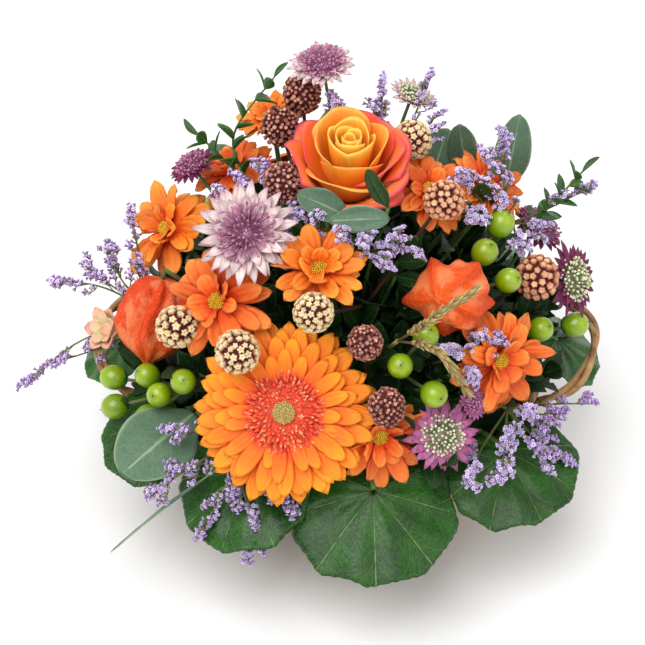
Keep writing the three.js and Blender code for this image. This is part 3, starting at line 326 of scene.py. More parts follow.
@dataclass(frozen=True)
class Petal:
    """The form of a petal, bract or narrow leaf that lies along +Y with its face up."""

    length: float
    half_width: float
    base: float = 0.3  # half width at its base, as a share
    widest: float = 0.62  # where it is widest
    blunt: float = 0.55  # below 1 is a round tip, above 1 a drawn-out one
    lift: float = 0.0  # radians that it rises by at its base
    curl: float = 0.0  # radians that it bends down by over its length
    cup: float = 0.1  # how far its margins rise, as a share of its half width
    ribs: float = 0.0  # how deep its lengthways furrows are
    rib_count: float = 2.0
    ruffle: float = 0.0  # how far its margin waves
    waves: float = 3.0
    notch: float = 0.0  # how far its tip is cut in, as a share of its length
    thickness: float = 0.7
    columns: int = 6
    rows: int = 9

    def shape(self, rng: Rng) -> Shape:
        """Makes one petal, a little different each time.

        Args:
            rng: what its differences are drawn from.

        Returns:
            The body, with its base at the origin.
        """
        v = np.linspace(0, 1, self.rows + 1)
        u = np.linspace(-1, 1, self.columns + 1)
        rise = np.sin(np.clip(v / self.widest, 0, 1) * math.pi / 2)
        fall = np.cos(np.clip((v - self.widest) / (1 - self.widest), 0, 1) * math.pi / 2)
        share = np.where(v < self.widest, self.base + (1 - self.base) * rise, fall**self.blunt)
        share = np.maximum(share, 0.05)[:, None]
        width = self.half_width * share
        curl = self.curl * (1 + 0.25 * rng.normal())
        slope = self.lift - curl * v**1.3
        step = np.diff(v) * self.length
        middle = (slope[1:] + slope[:-1]) / 2
        y = np.concatenate([[0], np.cumsum(step * np.cos(middle))])
        z = np.concatenate([[0], np.cumsum(step * np.sin(middle))])
        phase = rng.uniform(0, TAU)
        v, u, slope = v[:, None], u[None, :], slope[:, None]
        furrow = self.ribs * np.cos(self.rib_count * math.pi * u) * np.sin(math.pi * v)
        swing = np.sin(self.waves * TAU * v + phase) * np.sign(u)
        swing = swing + 0.5 * np.cos(1.7 * self.waves * TAU * v + phase)
        over = self.cup * width * u**2 + (furrow + self.ruffle * u**2 * swing) * share
        cut = self.notch * self.length * (1 - np.abs(np.abs(u) - 0.5) * 2) * v**4
        points = np.stack([
            width * u,
            y[:, None] - np.sin(slope) * over + cut * np.cos(slope),
            z[:, None] + np.cos(slope) * over + cut * np.sin(slope),
        ], axis=-1)
        return sheet(points, self.thickness)


# ---- materials

MARKS = ("along", "across", "tone", "under")  # the values that every mesh carries at its corners


def linear(colour: str) -> tuple[float, float, float, float]:
    """Turns an sRGB hex colour to the linear values that a shader takes."""
    channels = [int(colour[i : i + 2], 16) / 255 for i in (0, 2, 4)]
    return (*[c / 12.92 if c <= 0.04045 else ((c + 0.055) / 1.055) ** 2.4 for c in channels], 1.0)


class Paint:
    """Colours and numbers that vary over a surface, made from nodes."""

    def __init__(self, name: str) -> None:
        """Starts a material, with the values that the mesh carries at hand.

        Args:
            name: what the material is and how its surface was made.
        """
        self.material = bpy.data.materials.new(name)
        self.material.use_nodes = True
        self.tree = self.material.node_tree
        self.tree.nodes.clear()
        self.place = self.add("TexCoord", output="Object")
        self.along, self.across, self.tone, self.under = (
            self.add("Attribute", output="Fac", attribute_name=mark) for mark in MARKS
        )

    def add(
        self, kind: str, inputs: dict | tuple = (), output: int | str = 0, stops: tuple = (), **settings
    ) -> Socket | None:
        """Adds a node with its settings and links.

        Args:
            kind: the node's type, without its ShaderNode prefix.
            inputs: for each input, in turn or by its name or number, a value, an sRGB hex colour or
                an output to link from.
            output: which of its outputs is wanted.
            stops: pairs of place and sRGB hex colour, for a run of colours.
            settings: the node's own settings.

        Returns:
            The output, or None where the node has none.
        """
        node = self.tree.nodes.new("ShaderNode" + kind)
        for name, value in settings.items():
            setattr(node, name, value)
        for name, value in inputs.items() if isinstance(inputs, dict) else enumerate(inputs):
            socket = node.inputs[name]
            if isinstance(value, Socket):
                self.tree.links.new(value, socket)
            else:
                socket.default_value = linear(value) if isinstance(value, str) else value
        if stops:
            node.color_ramp.interpolation = "EASE"
            elements = node.color_ramp.elements
            while len(elements) < len(stops):
                elements.new(0.5)
            for element, (place, colour) in zip(elements, stops):
                element.position = place
                element.color = linear(colour)
        return node.outputs[output] if len(node.outputs) else None

    def clouds(self, size: float, detail: float = 3.0, place: Socket | None = None) -> Socket:
        """Makes cloudy noise from 0 to 1.

        Args:
            size: about how far its patches are across, in millimetres.
            detail: how much finer noise lies over it.
            place: where each point is in metres, by default on the object.

        Returns:
            The noise.
        """
        near = self.add("Mapping", {"Vector": place or self.place, "Scale": [1 / (size * MM)] * 3})
        return self.add("TexNoise", {"Vector": near, "Scale": 1.0, "Detail": detail})

    def net(self, size: float, thread: float, strength: float) -> Socket:
        """Makes a net of fine veins.

        Args:
            size: about how far its meshes are across, in millimetres.
            thread: how wide its threads are, as a share of a mesh.
            strength: its value along a thread. It falls to 0 in the meshes.

        Returns:
            The net.
        """
        edge = self.add("TexVoronoi", {"Vector": self.place, "Scale": 1 / (size * MM)},
                        feature="DISTANCE_TO_EDGE")
        return self.add("MapRange", (edge, 0.0, thread, strength, 0.0), interpolation_type="SMOOTHSTEP")

    def band(
        self, value: Socket, low: float, high: float, start: float = 0.0, end: float = 1.0,
        share: Socket | float = 1.0,
    ) -> Socket:
        """Makes a mask that runs softly from one strength to another as a value rises.

        Args:
            value: the value.
            low: where the run starts.
            high: where it ends.
            start: the strength below the run.
            end: the strength above it.
            share: what the mask is multiplied by.

        Returns:
            The mask.
        """
        mask = self.add("MapRange", (value, low, high, start, end), interpolation_type="SMOOTHSTEP")
        return self.add("Math", (mask, share), operation="MULTIPLY")

    def layered(self, colour: Socket | str, *layers: tuple) -> Socket:
        """Lays colours over one another.

        Args:
            colour: the lowest colour.
            layers: pairs of mask and colour, in the order in which they are laid.

        Returns:
            The colour that shows.
        """
        for mask, tint in layers:
            colour = self.add("Mix", {0: mask, 6: colour, 7: tint}, 2, data_type="RGBA")
        return colour

    def vary(self, colour: Socket, amount: float) -> Socket:
        """Makes some bodies lighter and some darker than others, by their tone.

        Args:
            colour: the colour.
            amount: how far its brightness goes either way, as a share.

        Returns:
            The varied colour.
        """
        value = self.add("Math", (self.tone, 2 * amount, 1 - amount), operation="MULTIPLY_ADD")
        hue = self.add("Math", (self.tone, 0.03 * amount, 0.5 - 0.015 * amount), operation="MULTIPLY_ADD")
        return self.add("HueSaturation", {"Hue": hue, "Value": value, "Color": colour})

    def finish(
        self, colour: Socket, height: Socket | None = None, depth: float = 0.0,
        **sockets: float,
    ) -> Material:
        """Ends the material in one shader.

        Args:
            colour: its base colour.
            height: its relief from 0 to 1, if it has one.
            depth: how deep the relief is, in millimetres. Below 0 it is cut in.
            sockets: other inputs of the shader, with _ for a space in their names.

        Returns:
            The material.
        """
        inputs = {"Base Color": colour, **{name.replace("_", " "): value for name, value in sockets.items()}}
        if height is not None:
            inputs["Normal"] = self.add("Bump", {"Height": height, "Distance": depth * MM, "Strength": 1.0})
        self.add("OutputMaterial", {"Surface": self.add("BsdfPrincipled", inputs)})
        return self.material


@dataclass(frozen=True)
class PetalFinish:
    """A petal's soft skin. The eye sees a run of colour from base to tip and fine furrows."""

    name: str
    run: tuple  # pairs of place along the petal and colour
    edge: str = ""  # the colour of its margin, if that differs
    edge_from: float = 0.55  # where the margin starts, from the midrib at 0 to the side at 1
    edge_strength: float = 0.0
    tip_edge: float = 0.0  # how much of the margin's colour its tip takes
    furrow: float = 0.16  # depth in millimetres
    streaks: float = 14.0  # how many run along it
    streak_colour: str = "C03A10"
    streak_strength: float = 0.15
    back: str = "D8501E"
    back_strength: float = 0.0
    tone: float = 0.12
    roughness: float = 0.55
    glow: float = 0.12  # how much light passes through its skin

    def material(self) -> Material:
        """Builds the petal's material: its run of colour under streaks, margin and back.

        Returns:
            The material.
        """
        paint = Paint(self.name)
        drift = paint.add("Math", (paint.clouds(9.0, 2.0), 0.16, -0.08), operation="MULTIPLY_ADD")
        drift = paint.add("Math", (paint.along, drift), operation="ADD")
        colour = paint.add("ValToRGB", (drift,), stops=self.run)
        side = paint.add("Math", (paint.across, 0.004 * self.streaks), operation="MULTIPLY")
        reach = paint.add("Math", (paint.along, 0.006), operation="MULTIPLY")
        own = paint.add("Math", (paint.tone, 0.7), operation="MULTIPLY")
        streak = paint.clouds(4.0, place=paint.add("CombineXYZ", (side, reach, own)))
        layers = [(paint.band(streak, 0.5, 0.72, end=self.streak_strength), self.streak_colour)]
        if self.edge_strength:
            margin = paint.add("Math", (paint.across,), operation="ABSOLUTE")
            tip = paint.band(paint.along, 0.72, 1.0, end=self.tip_edge)
            rim = paint.add("Math", (paint.band(margin, self.edge_from, 1.0), tip), operation="MAXIMUM")
            rim = paint.band(paint.along, 0.15, 0.6, share=rim)
            patchy = paint.band(paint.clouds(7.0), 0.2, 0.6, end=self.edge_strength, share=rim)
            layers.append((patchy, self.edge))
        if self.back_strength:
            under = paint.add("Math", (paint.under, self.back_strength), operation="MULTIPLY")
            layers.append((under, self.back))
        return paint.finish(
            paint.vary(paint.layered(colour, *layers), self.tone), streak, self.furrow,
            Roughness=self.roughness, Subsurface_Weight=self.glow, Subsurface_Scale=0.002,
            Specular_IOR_Level=0.35, Sheen_Weight=0.04, Sheen_Roughness=0.5,
        )


@dataclass(frozen=True)
class LeafFinish:
    """A leaf's skin. The eye sees a waxed upper face with pale veins, on some with a pale rim."""

    name: str
    dark: str
    light: str
    vein: str
    roughness: float
    fan: float = 0.0  # how many main veins spread from the stalk, or 0 for one midrib
    side_veins: float = 7.0
    side_strength: float = 0.8
    vein_strength: float = 0.55
    rim: float = 0.0
    coat: float = 0.0
    relief: float = 0.25  # in millimetres

    def material(self) -> Material:
        """Builds the leaf's material: clouded green under main, side and net veins.

        Returns:
            The material.
        """
        paint = Paint(self.name)
        if self.fan:
            turn = paint.add("Math", (paint.across, 2 * self.fan), operation="MULTIPLY")
            apart = paint.add("Math", (turn, 1.0), operation="PINGPONG")
        else:
            apart = paint.add("Math", (paint.across,), operation="ABSOLUTE")
        wobble = paint.add("Math", (paint.clouds(6.0, 2.0), 0.1, -0.05), operation="MULTIPLY_ADD")
        apart = paint.add("Math", (apart, wobble), operation="ADD")
        reach = paint.add("Math", (paint.along, 0.15), operation="ADD")
        reach = paint.add("Math", (apart, reach), operation="MULTIPLY")
        main = paint.band(reach, 0.008, 0.05, 1.0, 0.0)
        bow = paint.add("Math", (apart, 0.9, -3.2), operation="MULTIPLY_ADD")
        bow = paint.add("Math", (apart, bow, 0.5), operation="MULTIPLY_ADD")
        sway = paint.add("Math", (paint.clouds(11.0, 2.0), 0.28, bow), operation="MULTIPLY_ADD")
        slant = paint.add("Math", (paint.along, self.side_veins, sway), operation="MULTIPLY_ADD")
        fork = paint.add("Math", (slant, 0.5), operation="PINGPONG")
        side = paint.band(fork, 0.01, 0.08, self.side_strength, 0.0, paint.band(apart, 0.4, 0.9, 1.0, 0.0))
        veins = paint.add("Math", (main, side), operation="MAXIMUM")
        veins = paint.add("Math", (veins, paint.net(2.38, 0.1, 0.14)), operation="MAXIMUM")
        strong = paint.add("Math", (veins, self.vein_strength), operation="MULTIPLY")
        grain = paint.clouds(1.6)
        cloud = paint.add("Math", (grain, paint.clouds(16.0, 4.0)), operation="ADD")
        edge = paint.add("Math", (paint.across,), operation="ABSOLUTE")
        colour = paint.layered(
            self.dark, (paint.band(cloud, 0.6, 1.5), self.light), (strong, self.vein),
            (paint.band(edge, 0.9, 1.0, end=self.rim), self.vein),
        )
        smooth = paint.add("Math", (1.0, veins), operation="SUBTRACT")
        skin = paint.add("Math", (grain, 0.5, smooth), operation="MULTIPLY_ADD")
        return paint.finish(
            paint.vary(colour, 0.16), skin, self.relief, Roughness=self.roughness, Specular_IOR_Level=0.3,
            Coat_Weight=self.coat, Coat_Roughness=0.2, Subsurface_Weight=0.05, Subsurface_Scale=0.002,
        )


@dataclass(frozen=True)
class SpotFinish:
    """A small dry or fleshy body. The eye sees it shaded from its foot to its tip."""

    name: str
    run: tuple  # pairs of place between foot and tip and colour
    grain: float = 1.5  # in millimetres
    grain_strength: float = 0.25
    relief: float = 0.2  # in millimetres
    tone: float = 0.15
    roughness: float = 0.7
    coat: float = 0.0
    glow: float = 0.0

    def material(self) -> Material:
        """Builds the body's material: a run of colour, drifted and raised by its grain.

        Returns:
            The material.
        """
        paint = Paint(self.name)
        grain = paint.clouds(self.grain, 4.0)
        offset = paint.add("Math", (paint.along, -self.grain_strength / 2), operation="ADD")
        drift = paint.add("Math", (grain, self.grain_strength, offset), operation="MULTIPLY_ADD")
        colour = paint.vary(paint.add("ValToRGB", (drift,), stops=self.run), self.tone)
        return paint.finish(
            colour, grain, self.relief, Roughness=self.roughness, Coat_Weight=self.coat,
            Coat_Roughness=0.1, Subsurface_Weight=self.glow, Subsurface_Scale=0.003,
        )


@dataclass(frozen=True)
class RodFinish:
    """A willow rod or a stem. The eye sees clouded colour and fine cracks that run along it."""

    name: str
    dark: str
    mid: str
    light: str
    crack: float = 0.6  # how strongly the cracks darken it
    relief: float = 0.3  # in millimetres
    tone: float = 0.2
    roughness: float = 0.6

    def material(self) -> Material:
        """Builds the rod's material. Cracks are about 0.6 mm apart and 20 mm long.

        Returns:
            The material.
        """
        paint = Paint(self.name)
        side = paint.add("Math", (paint.across, 0.006), operation="MULTIPLY")
        reach = paint.add("Math", (paint.along, 0.012), operation="MULTIPLY")
        crack = paint.clouds(0.9, 4.0, paint.add("CombineXYZ", (side, reach, paint.tone)))
        stops = ((0.25, self.dark), (0.5, self.mid), (0.75, self.light))
        colour = paint.add("ValToRGB", (paint.clouds(9.0),), stops=stops)
        colour = paint.layered(colour, (paint.band(crack, 0.56, 0.7, end=self.crack), self.dark))
        return paint.finish(paint.vary(colour, self.tone), crack, -self.relief, Roughness=self.roughness)


@dataclass(frozen=True)
class HuskFinish:
    """A lantern's papery husk. The eye sees red ribs, a net of veins and paler blotches on the panes, which
    are painted highlights.
    """

    name: str
    run: tuple
    painted_highlight: str
    vein: str
    rib: str

    def material(self) -> Material:
        """Builds the husk's material.

        Returns:
            The material.
        """
        paint = Paint(self.name)
        net = paint.net(2.083, 0.14, 1.0)
        speck = paint.clouds(2.0, 4.0)
        drift = paint.add("Math", (speck, paint.along), operation="ADD")
        drift = paint.add("Math", (drift, 0.45), operation="MULTIPLY")
        # painted highlights: pale peach blotches in the panes between the ribs
        pane = paint.band(paint.across, 0.05, 0.6, 0.6, 0.0)
        colour = paint.layered(
            paint.add("ValToRGB", (drift,), stops=self.run),
            (paint.band(paint.clouds(9.0, 2.0), 0.42, 0.62, share=pane), self.painted_highlight),
            (paint.add("Math", (net, 0.2), operation="MULTIPLY"), self.vein),
            (paint.band(paint.across, 0.75, 1.0, end=0.7), self.rib),
        )
        height = paint.add("Math", (speck, -1.6, net), operation="MULTIPLY_ADD")
        return paint.finish(
            colour, height, 0.25, Roughness=0.55, Specular_IOR_Level=0.25, Subsurface_Weight=0.12,
            Subsurface_Scale=0.003,
        )


@dataclass(frozen=True)
class FloorFinish:
    """A matt painted floor. The eye sees white with hardly a cloud in it."""

    name: str
    pale: str
    dull: str

    def material(self) -> Material:
        """Builds the floor's material.

        Returns:
            The material.
        """
        paint = Paint(self.name)
        mask = paint.add("Math", (paint.clouds(40.0, 2.0), 0.02), operation="MULTIPLY")
        return paint.finish(paint.layered(self.pale, (mask, self.dull)), Roughness=0.9)


class Finish(Enum):
    """Every finish on the arrangement, by what it is and how its surface came about."""

    # Ray petals of a gerbera: velvety orange, redder and darker where they meet the eye.
    GERBERA_RAY = PetalFinish(
        "gerbera_ray_velvet", ((0, "E83606"), (0.38, "FB4E0A"), (0.62, "FF760E"), (1, "FF9A12")),
        streaks=9, streak_colour="E8500A", streak_strength=0.4, furrow=0.3, tone=0.12,
    )
    # Short florets round the eye: coral red.
    GERBERA_FLORET = PetalFinish(
        "gerbera_floret_coral", ((0, "C42A10"), (0.5, "EA4426"), (0.85, "F4603A"), (1, "F88A5C")),
        streak_strength=0.1, tone=0.2,
    )
    # The same florets just opened: cream at their tips.
    GERBERA_FLORET_TIPPED = PetalFinish(
        "gerbera_floret_cream_tipped", ((0, "C42A10"), (0.5, "E84A2E"), (0.8, "F68A5A"), (1, "FDE0A8")),
        streak_strength=0.1, tone=0.2,
    )
    # Tight buds in the middle of the eye: olive yellow.
    GERBERA_HEART = SpotFinish(
        "gerbera_heart_buds", ((0, "8A7034"), (0.6, "BC9E4A"), (1, "DCC67E")), grain=0.8, tone=0.25,
    )
    # The rose's heart: satin amber, paler towards the lips.
    ROSE_INNER = PetalFinish(
        "rose_petal_inner_satin", ((0, "E87408"), (0.5, "FF9E1A"), (0.85, "FFB834"), (1, "FFD05A")),
        "FFDC70", edge_from=0.75, edge_strength=0.3, streaks=8, streak_colour="FF8A1C",
        streak_strength=0.25, furrow=0.1, tone=0.06, roughness=0.45, glow=0.25,
    )
    # The middle petals: deeper amber, with coral just at the lips.
    ROSE_AMBER = PetalFinish(
        "rose_petal_amber_satin", ((0, "F0980E"), (0.4, "FFA018"), (0.75, "FFA428"), (1, "FFB450")),
        "FF8250", edge_from=0.6, edge_strength=0.5, tip_edge=0.35, streaks=9, streak_colour="FA841C",
        streak_strength=0.3, furrow=0.12, back="FFAC28", back_strength=0.6, tone=0.06, roughness=0.5,
        glow=0.3,
    )
    # The outer petals: crimson runs in from their margins.
    ROSE_CRIMSON = PetalFinish(
        "rose_petal_crimson_satin", ((0, "F4A418"), (0.45, "FF9C20"), (0.8, "FF8A34"), (0.93, "FC7848"),
                                     (1, "EC4C58")),
        "E03458", edge_from=0.74, edge_strength=0.75, tip_edge=0.22, streaks=9, streak_colour="F8703A",
        streak_strength=0.3, furrow=0.12, back="FF9C30", back_strength=0.65, tone=0.08, roughness=0.5,
        glow=0.3,
    )
    # Spray chrysanthemum: matt orange petals, red at their base and on their backs, paler peach towards
    # their tips, which is partly their own colour and partly painted light.
    MUM_ORANGE = PetalFinish(
        "mum_petal_orange_matt", ((0, "A82006"), (0.2, "DC4408"), (0.55, "F06A1E"), (1, "F68C3A")),
        streaks=10, streak_colour="CC3406", streak_strength=0.45, furrow=0.4, back="D84A18",
        back_strength=0.6, tone=0.16,
    )
    # The same bloom a little younger: brighter and more yellow, its paler tips also partly painted light.
    MUM_AMBER = PetalFinish(
        "mum_petal_amber_matt", ((0, "B83006"), (0.2, "E85E0C"), (0.55, "F57E1C"), (1, "FC9C34")),
        streaks=10, streak_colour="E0540A", streak_strength=0.4, furrow=0.4, back="E8601C",
        back_strength=0.5, tone=0.14,
    )
    # The disc of a chrysanthemum: closed florets, green at their foot and golden on top.
    MUM_DISC = SpotFinish(
        "mum_disc_florets", ((0, "848A10"), (0.5, "C8A01A"), (1, "F0BC2A")), grain=1.0, tone=0.25,
    )
    # Masterwort bracts: papery and pale, with mauve veins and darker tips.
    BRACT_PALE = PetalFinish(
        "masterwort_bract_pale_papery", ((0, "9A4E74"), (0.3, "D8A8B8"), (0.7, "EEDCD6"), (1, "CCA4AC")),
        "A4587E", edge_from=0.7, edge_strength=0.4, streaks=20, streak_colour="A04070", streak_strength=1.0,
        furrow=0.25, back="C0A098", back_strength=0.5, tone=0.18,
    )
    # Younger bracts: magenta, cream where they join.
    BRACT_MAGENTA = PetalFinish(
        "masterwort_bract_magenta_papery",
        ((0, "E6DCC0"), (0.3, "D69ABC"), (0.7, "C06CA0"), (1, "94466E")),
        streaks=14, streak_colour="7A2056", streak_strength=0.55, furrow=0.2, tone=0.16,
    )
    # Old bracts, dried on the stem: wine red and darker at the tips.
    BRACT_WINE = PetalFinish(
        "masterwort_bract_wine_papery",
        ((0, "C8A4AC"), (0.25, "A04A72"), (0.7, "7E2A56"), (1, "5A243C")),
        streaks=16, streak_colour="4E1432", streak_strength=0.5, furrow=0.15, tone=0.14,
    )
    # Pin-like florets of a dome: mauve stalks with pale heads.
    PIN = SpotFinish(
        "masterwort_pin_florets", ((0, "B88A9C"), (0.5, "C88CA8"), (0.78, "A85888"), (1, "E6C4D0")),
        grain=0.6, tone=0.35,
    )
    # The same, still green: cream heads with a pink tip.
    PIN_PALE = SpotFinish(
        "masterwort_pin_pale_florets", ((0, "8C9C68"), (0.6, "C4CCA0"), (0.85, "E8E2C8"), (1, "D89CB0")),
        grain=0.6, tone=0.25,
    )
    # Dry knobs of a button head: beige and matt, with their own burgundy towards their feet in the gaps,
    # darkened there as painted shade.
    BUTTON_KNOB = SpotFinish(
        "button_knob_dry",
        ((0, "4A161C"), (0.36, "7A3232"), (0.5, "C49A70"), (0.7, "E9D6A8"), (0.9, "E2CA9A"),
                            (1, "9C7050")),
        grain=0.7, grain_strength=0.14, tone=0.12, roughness=0.85,
    )
    # Fresher knobs: rosy, with cream at their tips, and dark towards their feet as painted shade in the
    # gaps.
    BUTTON_KNOB_PINK = SpotFinish(
        "button_knob_rosy_dry", ((0, "4A161E"), (0.36, "7E3434"), (0.5, "B87252"), (0.7, "E0A47C"),
                                 (0.9, "EEC8A0"), (1, "A86A50")),
        grain=0.7, grain_strength=0.14, tone=0.18, roughness=0.85,
    )
    # The core between the knobs: its own dry burgundy, darkened to near black as painted shade in the gaps.
    BUTTON_CORE_SHADE = SpotFinish("button_core_dry_painted_shade", ((0, "40161A"), (1, "5E2428")), roughness=0.9)
    # Dry scales of a brown cone: rusty, with pale pinkish tips.
    CONE_KNOB = SpotFinish(
        "cone_scale_dry",
        ((0, "3E1A16"), (0.4, "84463A"), (0.7, "B47464"), (0.86, "D6A694"), (1, "84504A")),
        grain=0.7, grain_strength=0.2, tone=0.35, roughness=0.85,
    )
    # Berry skin: taut and glossy, yellow-green, darker towards its foot on the side towards the stem as
    # painted shade, with a dark dot where the style was.
    BERRY = SpotFinish(
        "berry_skin_glossy",
        ((0, "42660A"), (0.3, "6E9004"), (0.85, "8EAA06"), (0.97, "789408"), (1, "2A2410")),
        grain=0.7, grain_strength=0.03, relief=0.02, tone=0.1, roughness=0.32, coat=0.5, glow=0.08,
    )
    # Lobes of a bud that is just opening: peach, green where they join.
    BUD_LOBE = PetalFinish(
        "pale_bud_lobe_satin", ((0, "8AA858"), (0.4, "D8C890"), (0.8, "F0C0A0"), (1, "E89A80")),
        streak_colour="D88A70", streak_strength=0.3, tone=0.1,
    )
    # Statice: papery lilac funnels that keep their colour dry.
    STATICE = SpotFinish(
        "statice_funnel_papery", ((0, "56602C"), (0.36, "8C945E"), (0.48, "8E68AE"), (0.6, "A47AC8"),
                                  (0.74, "E8DAF2"), (0.88, "A682CA"), (1, "80609C")),
        grain=1.2, grain_strength=0.12, relief=0.1, tone=0.3, roughness=0.8, glow=0.1,
    )
    # Collar leaves: deep green under a light gloss, with pale veins that stand out.
    COLLAR_LEAF = LeafFinish(
        "collar_leaf_glossy", "0A3002", "246E08", "94C06C", 0.38, fan=4.5, side_veins=5.0, coat=0.2,
        vein_strength=0.42, relief=0.8,
    )
    # Gum leaves: a grey bloom of wax, with a pale rim and midrib.
    GUM_LEAF = LeafFinish(
        "gum_leaf_waxed", "4E6C54", "627E64", "B0C4A0", 0.5, side_veins=9.0, side_strength=0.2, rim=0.8,
        vein_strength=0.5, relief=0.1,
    )
    # Small leaves of rose, filling and sprigs: satin, from dark to fresh green.
    ROSE_LEAF = LeafFinish("rose_leaf_satin", "12340F", "28561F", "5E8A40", 0.42, side_veins=7.0, coat=0.1)
    FILLER_LEAF = LeafFinish("filler_leaf_satin", "0B240A", "1E4416", "4A7434", 0.5, side_veins=6.0)
    SPRIG_LEAF = LeafFinish("sprig_leaf_satin", "1E4A18", "3A7028", "7CA452", 0.4, side_veins=8.0, coat=0.1)
    # Stems: living green, olive on statice, red-brown on button heads.
    GREEN_STEM = RodFinish("stem_green_satin", "2E4A1A", "456A28", "5E8436", crack=0.3, relief=0.1)
    OLIVE_STEM = RodFinish("stem_olive_matt", "3E4622", "5C6432", "7A7E46", 0.3, 0.1, roughness=0.7)
    RED_STEM = RodFinish("stem_russet_matt", "2A1814", "44241E", "5E3228", 0.3, 0.1, roughness=0.7)
    # Seed grass dried on the stalk: straw-coloured and matt.
    STRAW = SpotFinish(
        "seed_straw_dry", ((0, "5E5026"), (0.45, "8E7A44"), (0.8, "B8A26A"), (1, "D8C694")), grain=0.8,
        tone=0.25, roughness=0.8,
    )
    # Willow: peeled rods, dried brown, with dark lengthways cracks.
    WILLOW = RodFinish("willow_rod_peeled", "6E4A28", "A67C4C", "C49E6C", crack=0.7, relief=0.35, tone=0.16)
    # Liner film moulded to the basket: near black, with a dull shine.
    LINER = SpotFinish("liner_film_moulded", ((0, "1A221A"), (1, "2A342A")), grain=6.0, roughness=0.45)
    # Wet foam: open cells that drink water, dark green and matt.
    FOAM = SpotFinish(
        "floral_foam_wet", ((0, "142A16"), (1, "24442A")), grain=1.2, grain_strength=0.5, relief=0.6,
        roughness=0.95,
    )
    # A lantern's husk: papery orange-red, with red ribs, a fine net of veins and pale peach blotches painted
    # on as highlights.
    HUSK = HuskFinish(
        "lantern_husk_papery",
        ((0, "BC2602"), (0.35, "DC3C04"), (0.6, "E8560A"), (0.85, "DC3808"), (1, "B02408")),
        # the first colour is the peach of the painted highlights
        painted_highlight="FA9460", vein="FFA060", rib="D6360A",
    )
    # Floor: matt white, very slightly clouded, so that only the soft shadow shows.
    FLOOR_WHITE = FloorFinish("floor_matt_white", "F6F6F6", "ECECEC")


@cache
def dressed(finish: Finish) -> Material:
    """The material of a finish, made the first time that it is asked for."""
    return finish.value.material()


# ---- pieces


class Piece:
    """One mesh in the scene, gathered from many small closed bodies."""

    def __init__(self, name: str, slot: str, nodes: tuple[str, ...] = (), seed: int = 0) -> None:
        """Starts a piece that stands for the named CAD nodes.

        Args:
            name: the piece's name.
            slot: the record's material slot. It is not used.
            nodes: the CAD nodes that it replaces.
            seed: where its random draws start.
        """
        self.name = name
        self.slot = slot
        self.nodes = nodes
        self.rng = np.random.default_rng(seed + sum(map(ord, name)))
        self.materials: list[Material] = []
        self.parts: list[tuple] = []
        self.count = 0

    def put(
        self, shape: Shape, finish: Finish, poses: list[Vec] | Vec | None = None, tone: float | None = None
    ) -> None:
        """Adds a body, once or at many places.

        Args:
            shape: the body.
            finish: its finish.
            poses: one matrix, or a list of them.
            tone: how light it is from 0 to 1, or None for a random tone.
        """
        material = dressed(finish)
        if material not in self.materials:
            self.materials.append(material)
        slot = self.materials.index(material)
        poses = np.eye(4) if poses is None else np.asarray(poses)
        poses = poses.reshape(-1, 4, 4)
        count, size = len(poses), len(shape.verts)
        verts = np.einsum("nij,vj->nvi", poses[:, :3, :3], shape.verts) + poses[:, None, :3, 3]
        start = self.count + np.arange(count)[:, None, None] * size
        tones = self.rng.uniform(0, 1, count) if tone is None else np.full(count, tone)
        flip = np.linalg.det(poses[:, :3, :3]) < 0
        quads, tris = shape.quads[None] + start, shape.tris[None] + start
        quads[flip], tris[flip] = quads[flip][:, :, ::-1], tris[flip][:, :, ::-1]
        under = np.zeros(size) if shape.under is None else shape.under
        marks = (np.tile(shape.along, count), np.tile(shape.across, count), np.repeat(tones, size),
                 np.tile(under, count))
        self.parts.append((verts.reshape(-1, 3), quads.reshape(-1, 4), tris.reshape(-1, 3), slot, marks))
        self.count += count * size

    def whorl(self, form: Petal, finish: Finish, count: int, pose: Vec, reach: float, height: float) -> None:
        """Sets sepals evenly round an axis.

        Args:
            form: what each is like.
            finish: their finish.
            count: how many there are.
            pose: the frame whose Z they stand round.
            reach: how far out their bases are.
            height: how high their bases are.
        """
        for i in range(count):
            seat = turned("Z", i / count * TAU) @ shifted(0, reach, height)
            self.put(form.shape(self.rng), finish, pose @ seat)

    def build(self) -> None:
        """Writes the piece to the scene and hangs it on the frame."""
        verts, quads, tris, slots, marks = zip(*self.parts)
        looks = [np.full(len(faces), slot) for kind in (quads, tris) for faces, slot in zip(kind, slots)]
        verts, quads, tris = np.concatenate(verts) * MM, np.concatenate(quads), np.concatenate(tris)
        loops = np.concatenate([quads.reshape(-1), tris.reshape(-1)])
        starts = np.concatenate([np.arange(len(quads)) * 4, quads.size + np.arange(len(tris)) * 3])
        mesh = bpy.data.meshes.new(self.name)
        mesh.vertices.add(len(verts))
        mesh.loops.add(len(loops))
        mesh.polygons.add(len(starts))
        mesh.vertices.foreach_set("co", verts.astype(np.float32).reshape(-1))
        mesh.loops.foreach_set("vertex_index", loops.astype(np.int32))
        mesh.polygons.foreach_set("loop_start", starts.astype(np.int32))
        mesh.polygons.foreach_set("material_index", np.concatenate(looks).astype(np.int32))
        mesh.polygons.foreach_set("use_smooth", np.full(len(starts), True))
        for name, values in zip(MARKS, zip(*marks)):
            layer = mesh.attributes.new(name, "FLOAT", "POINT")
            layer.data.foreach_set("value", np.concatenate(values).astype(np.float32))
        for material in self.materials:
            mesh.materials.append(material)
        mesh.update(calc_edges=True)
        mesh.validate()
        piece = bpy.data.objects.new(self.name, mesh)
        bpy.context.scene.collection.objects.link(piece)
        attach(piece, "root")
        if self.nodes:
            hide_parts(*self.nodes)
        LOG.info("%s: %d faces for %s", self.name, len(starts), ", ".join(self.nodes) or "nothing")


# ---- stems


def inner_radius(height: float) -> float:
    """The basket's inner radius at a height."""
    return BASE_RADIUS + (RIM_RADIUS - BASE_RADIUS) * height / BASKET_HEIGHT - WALL


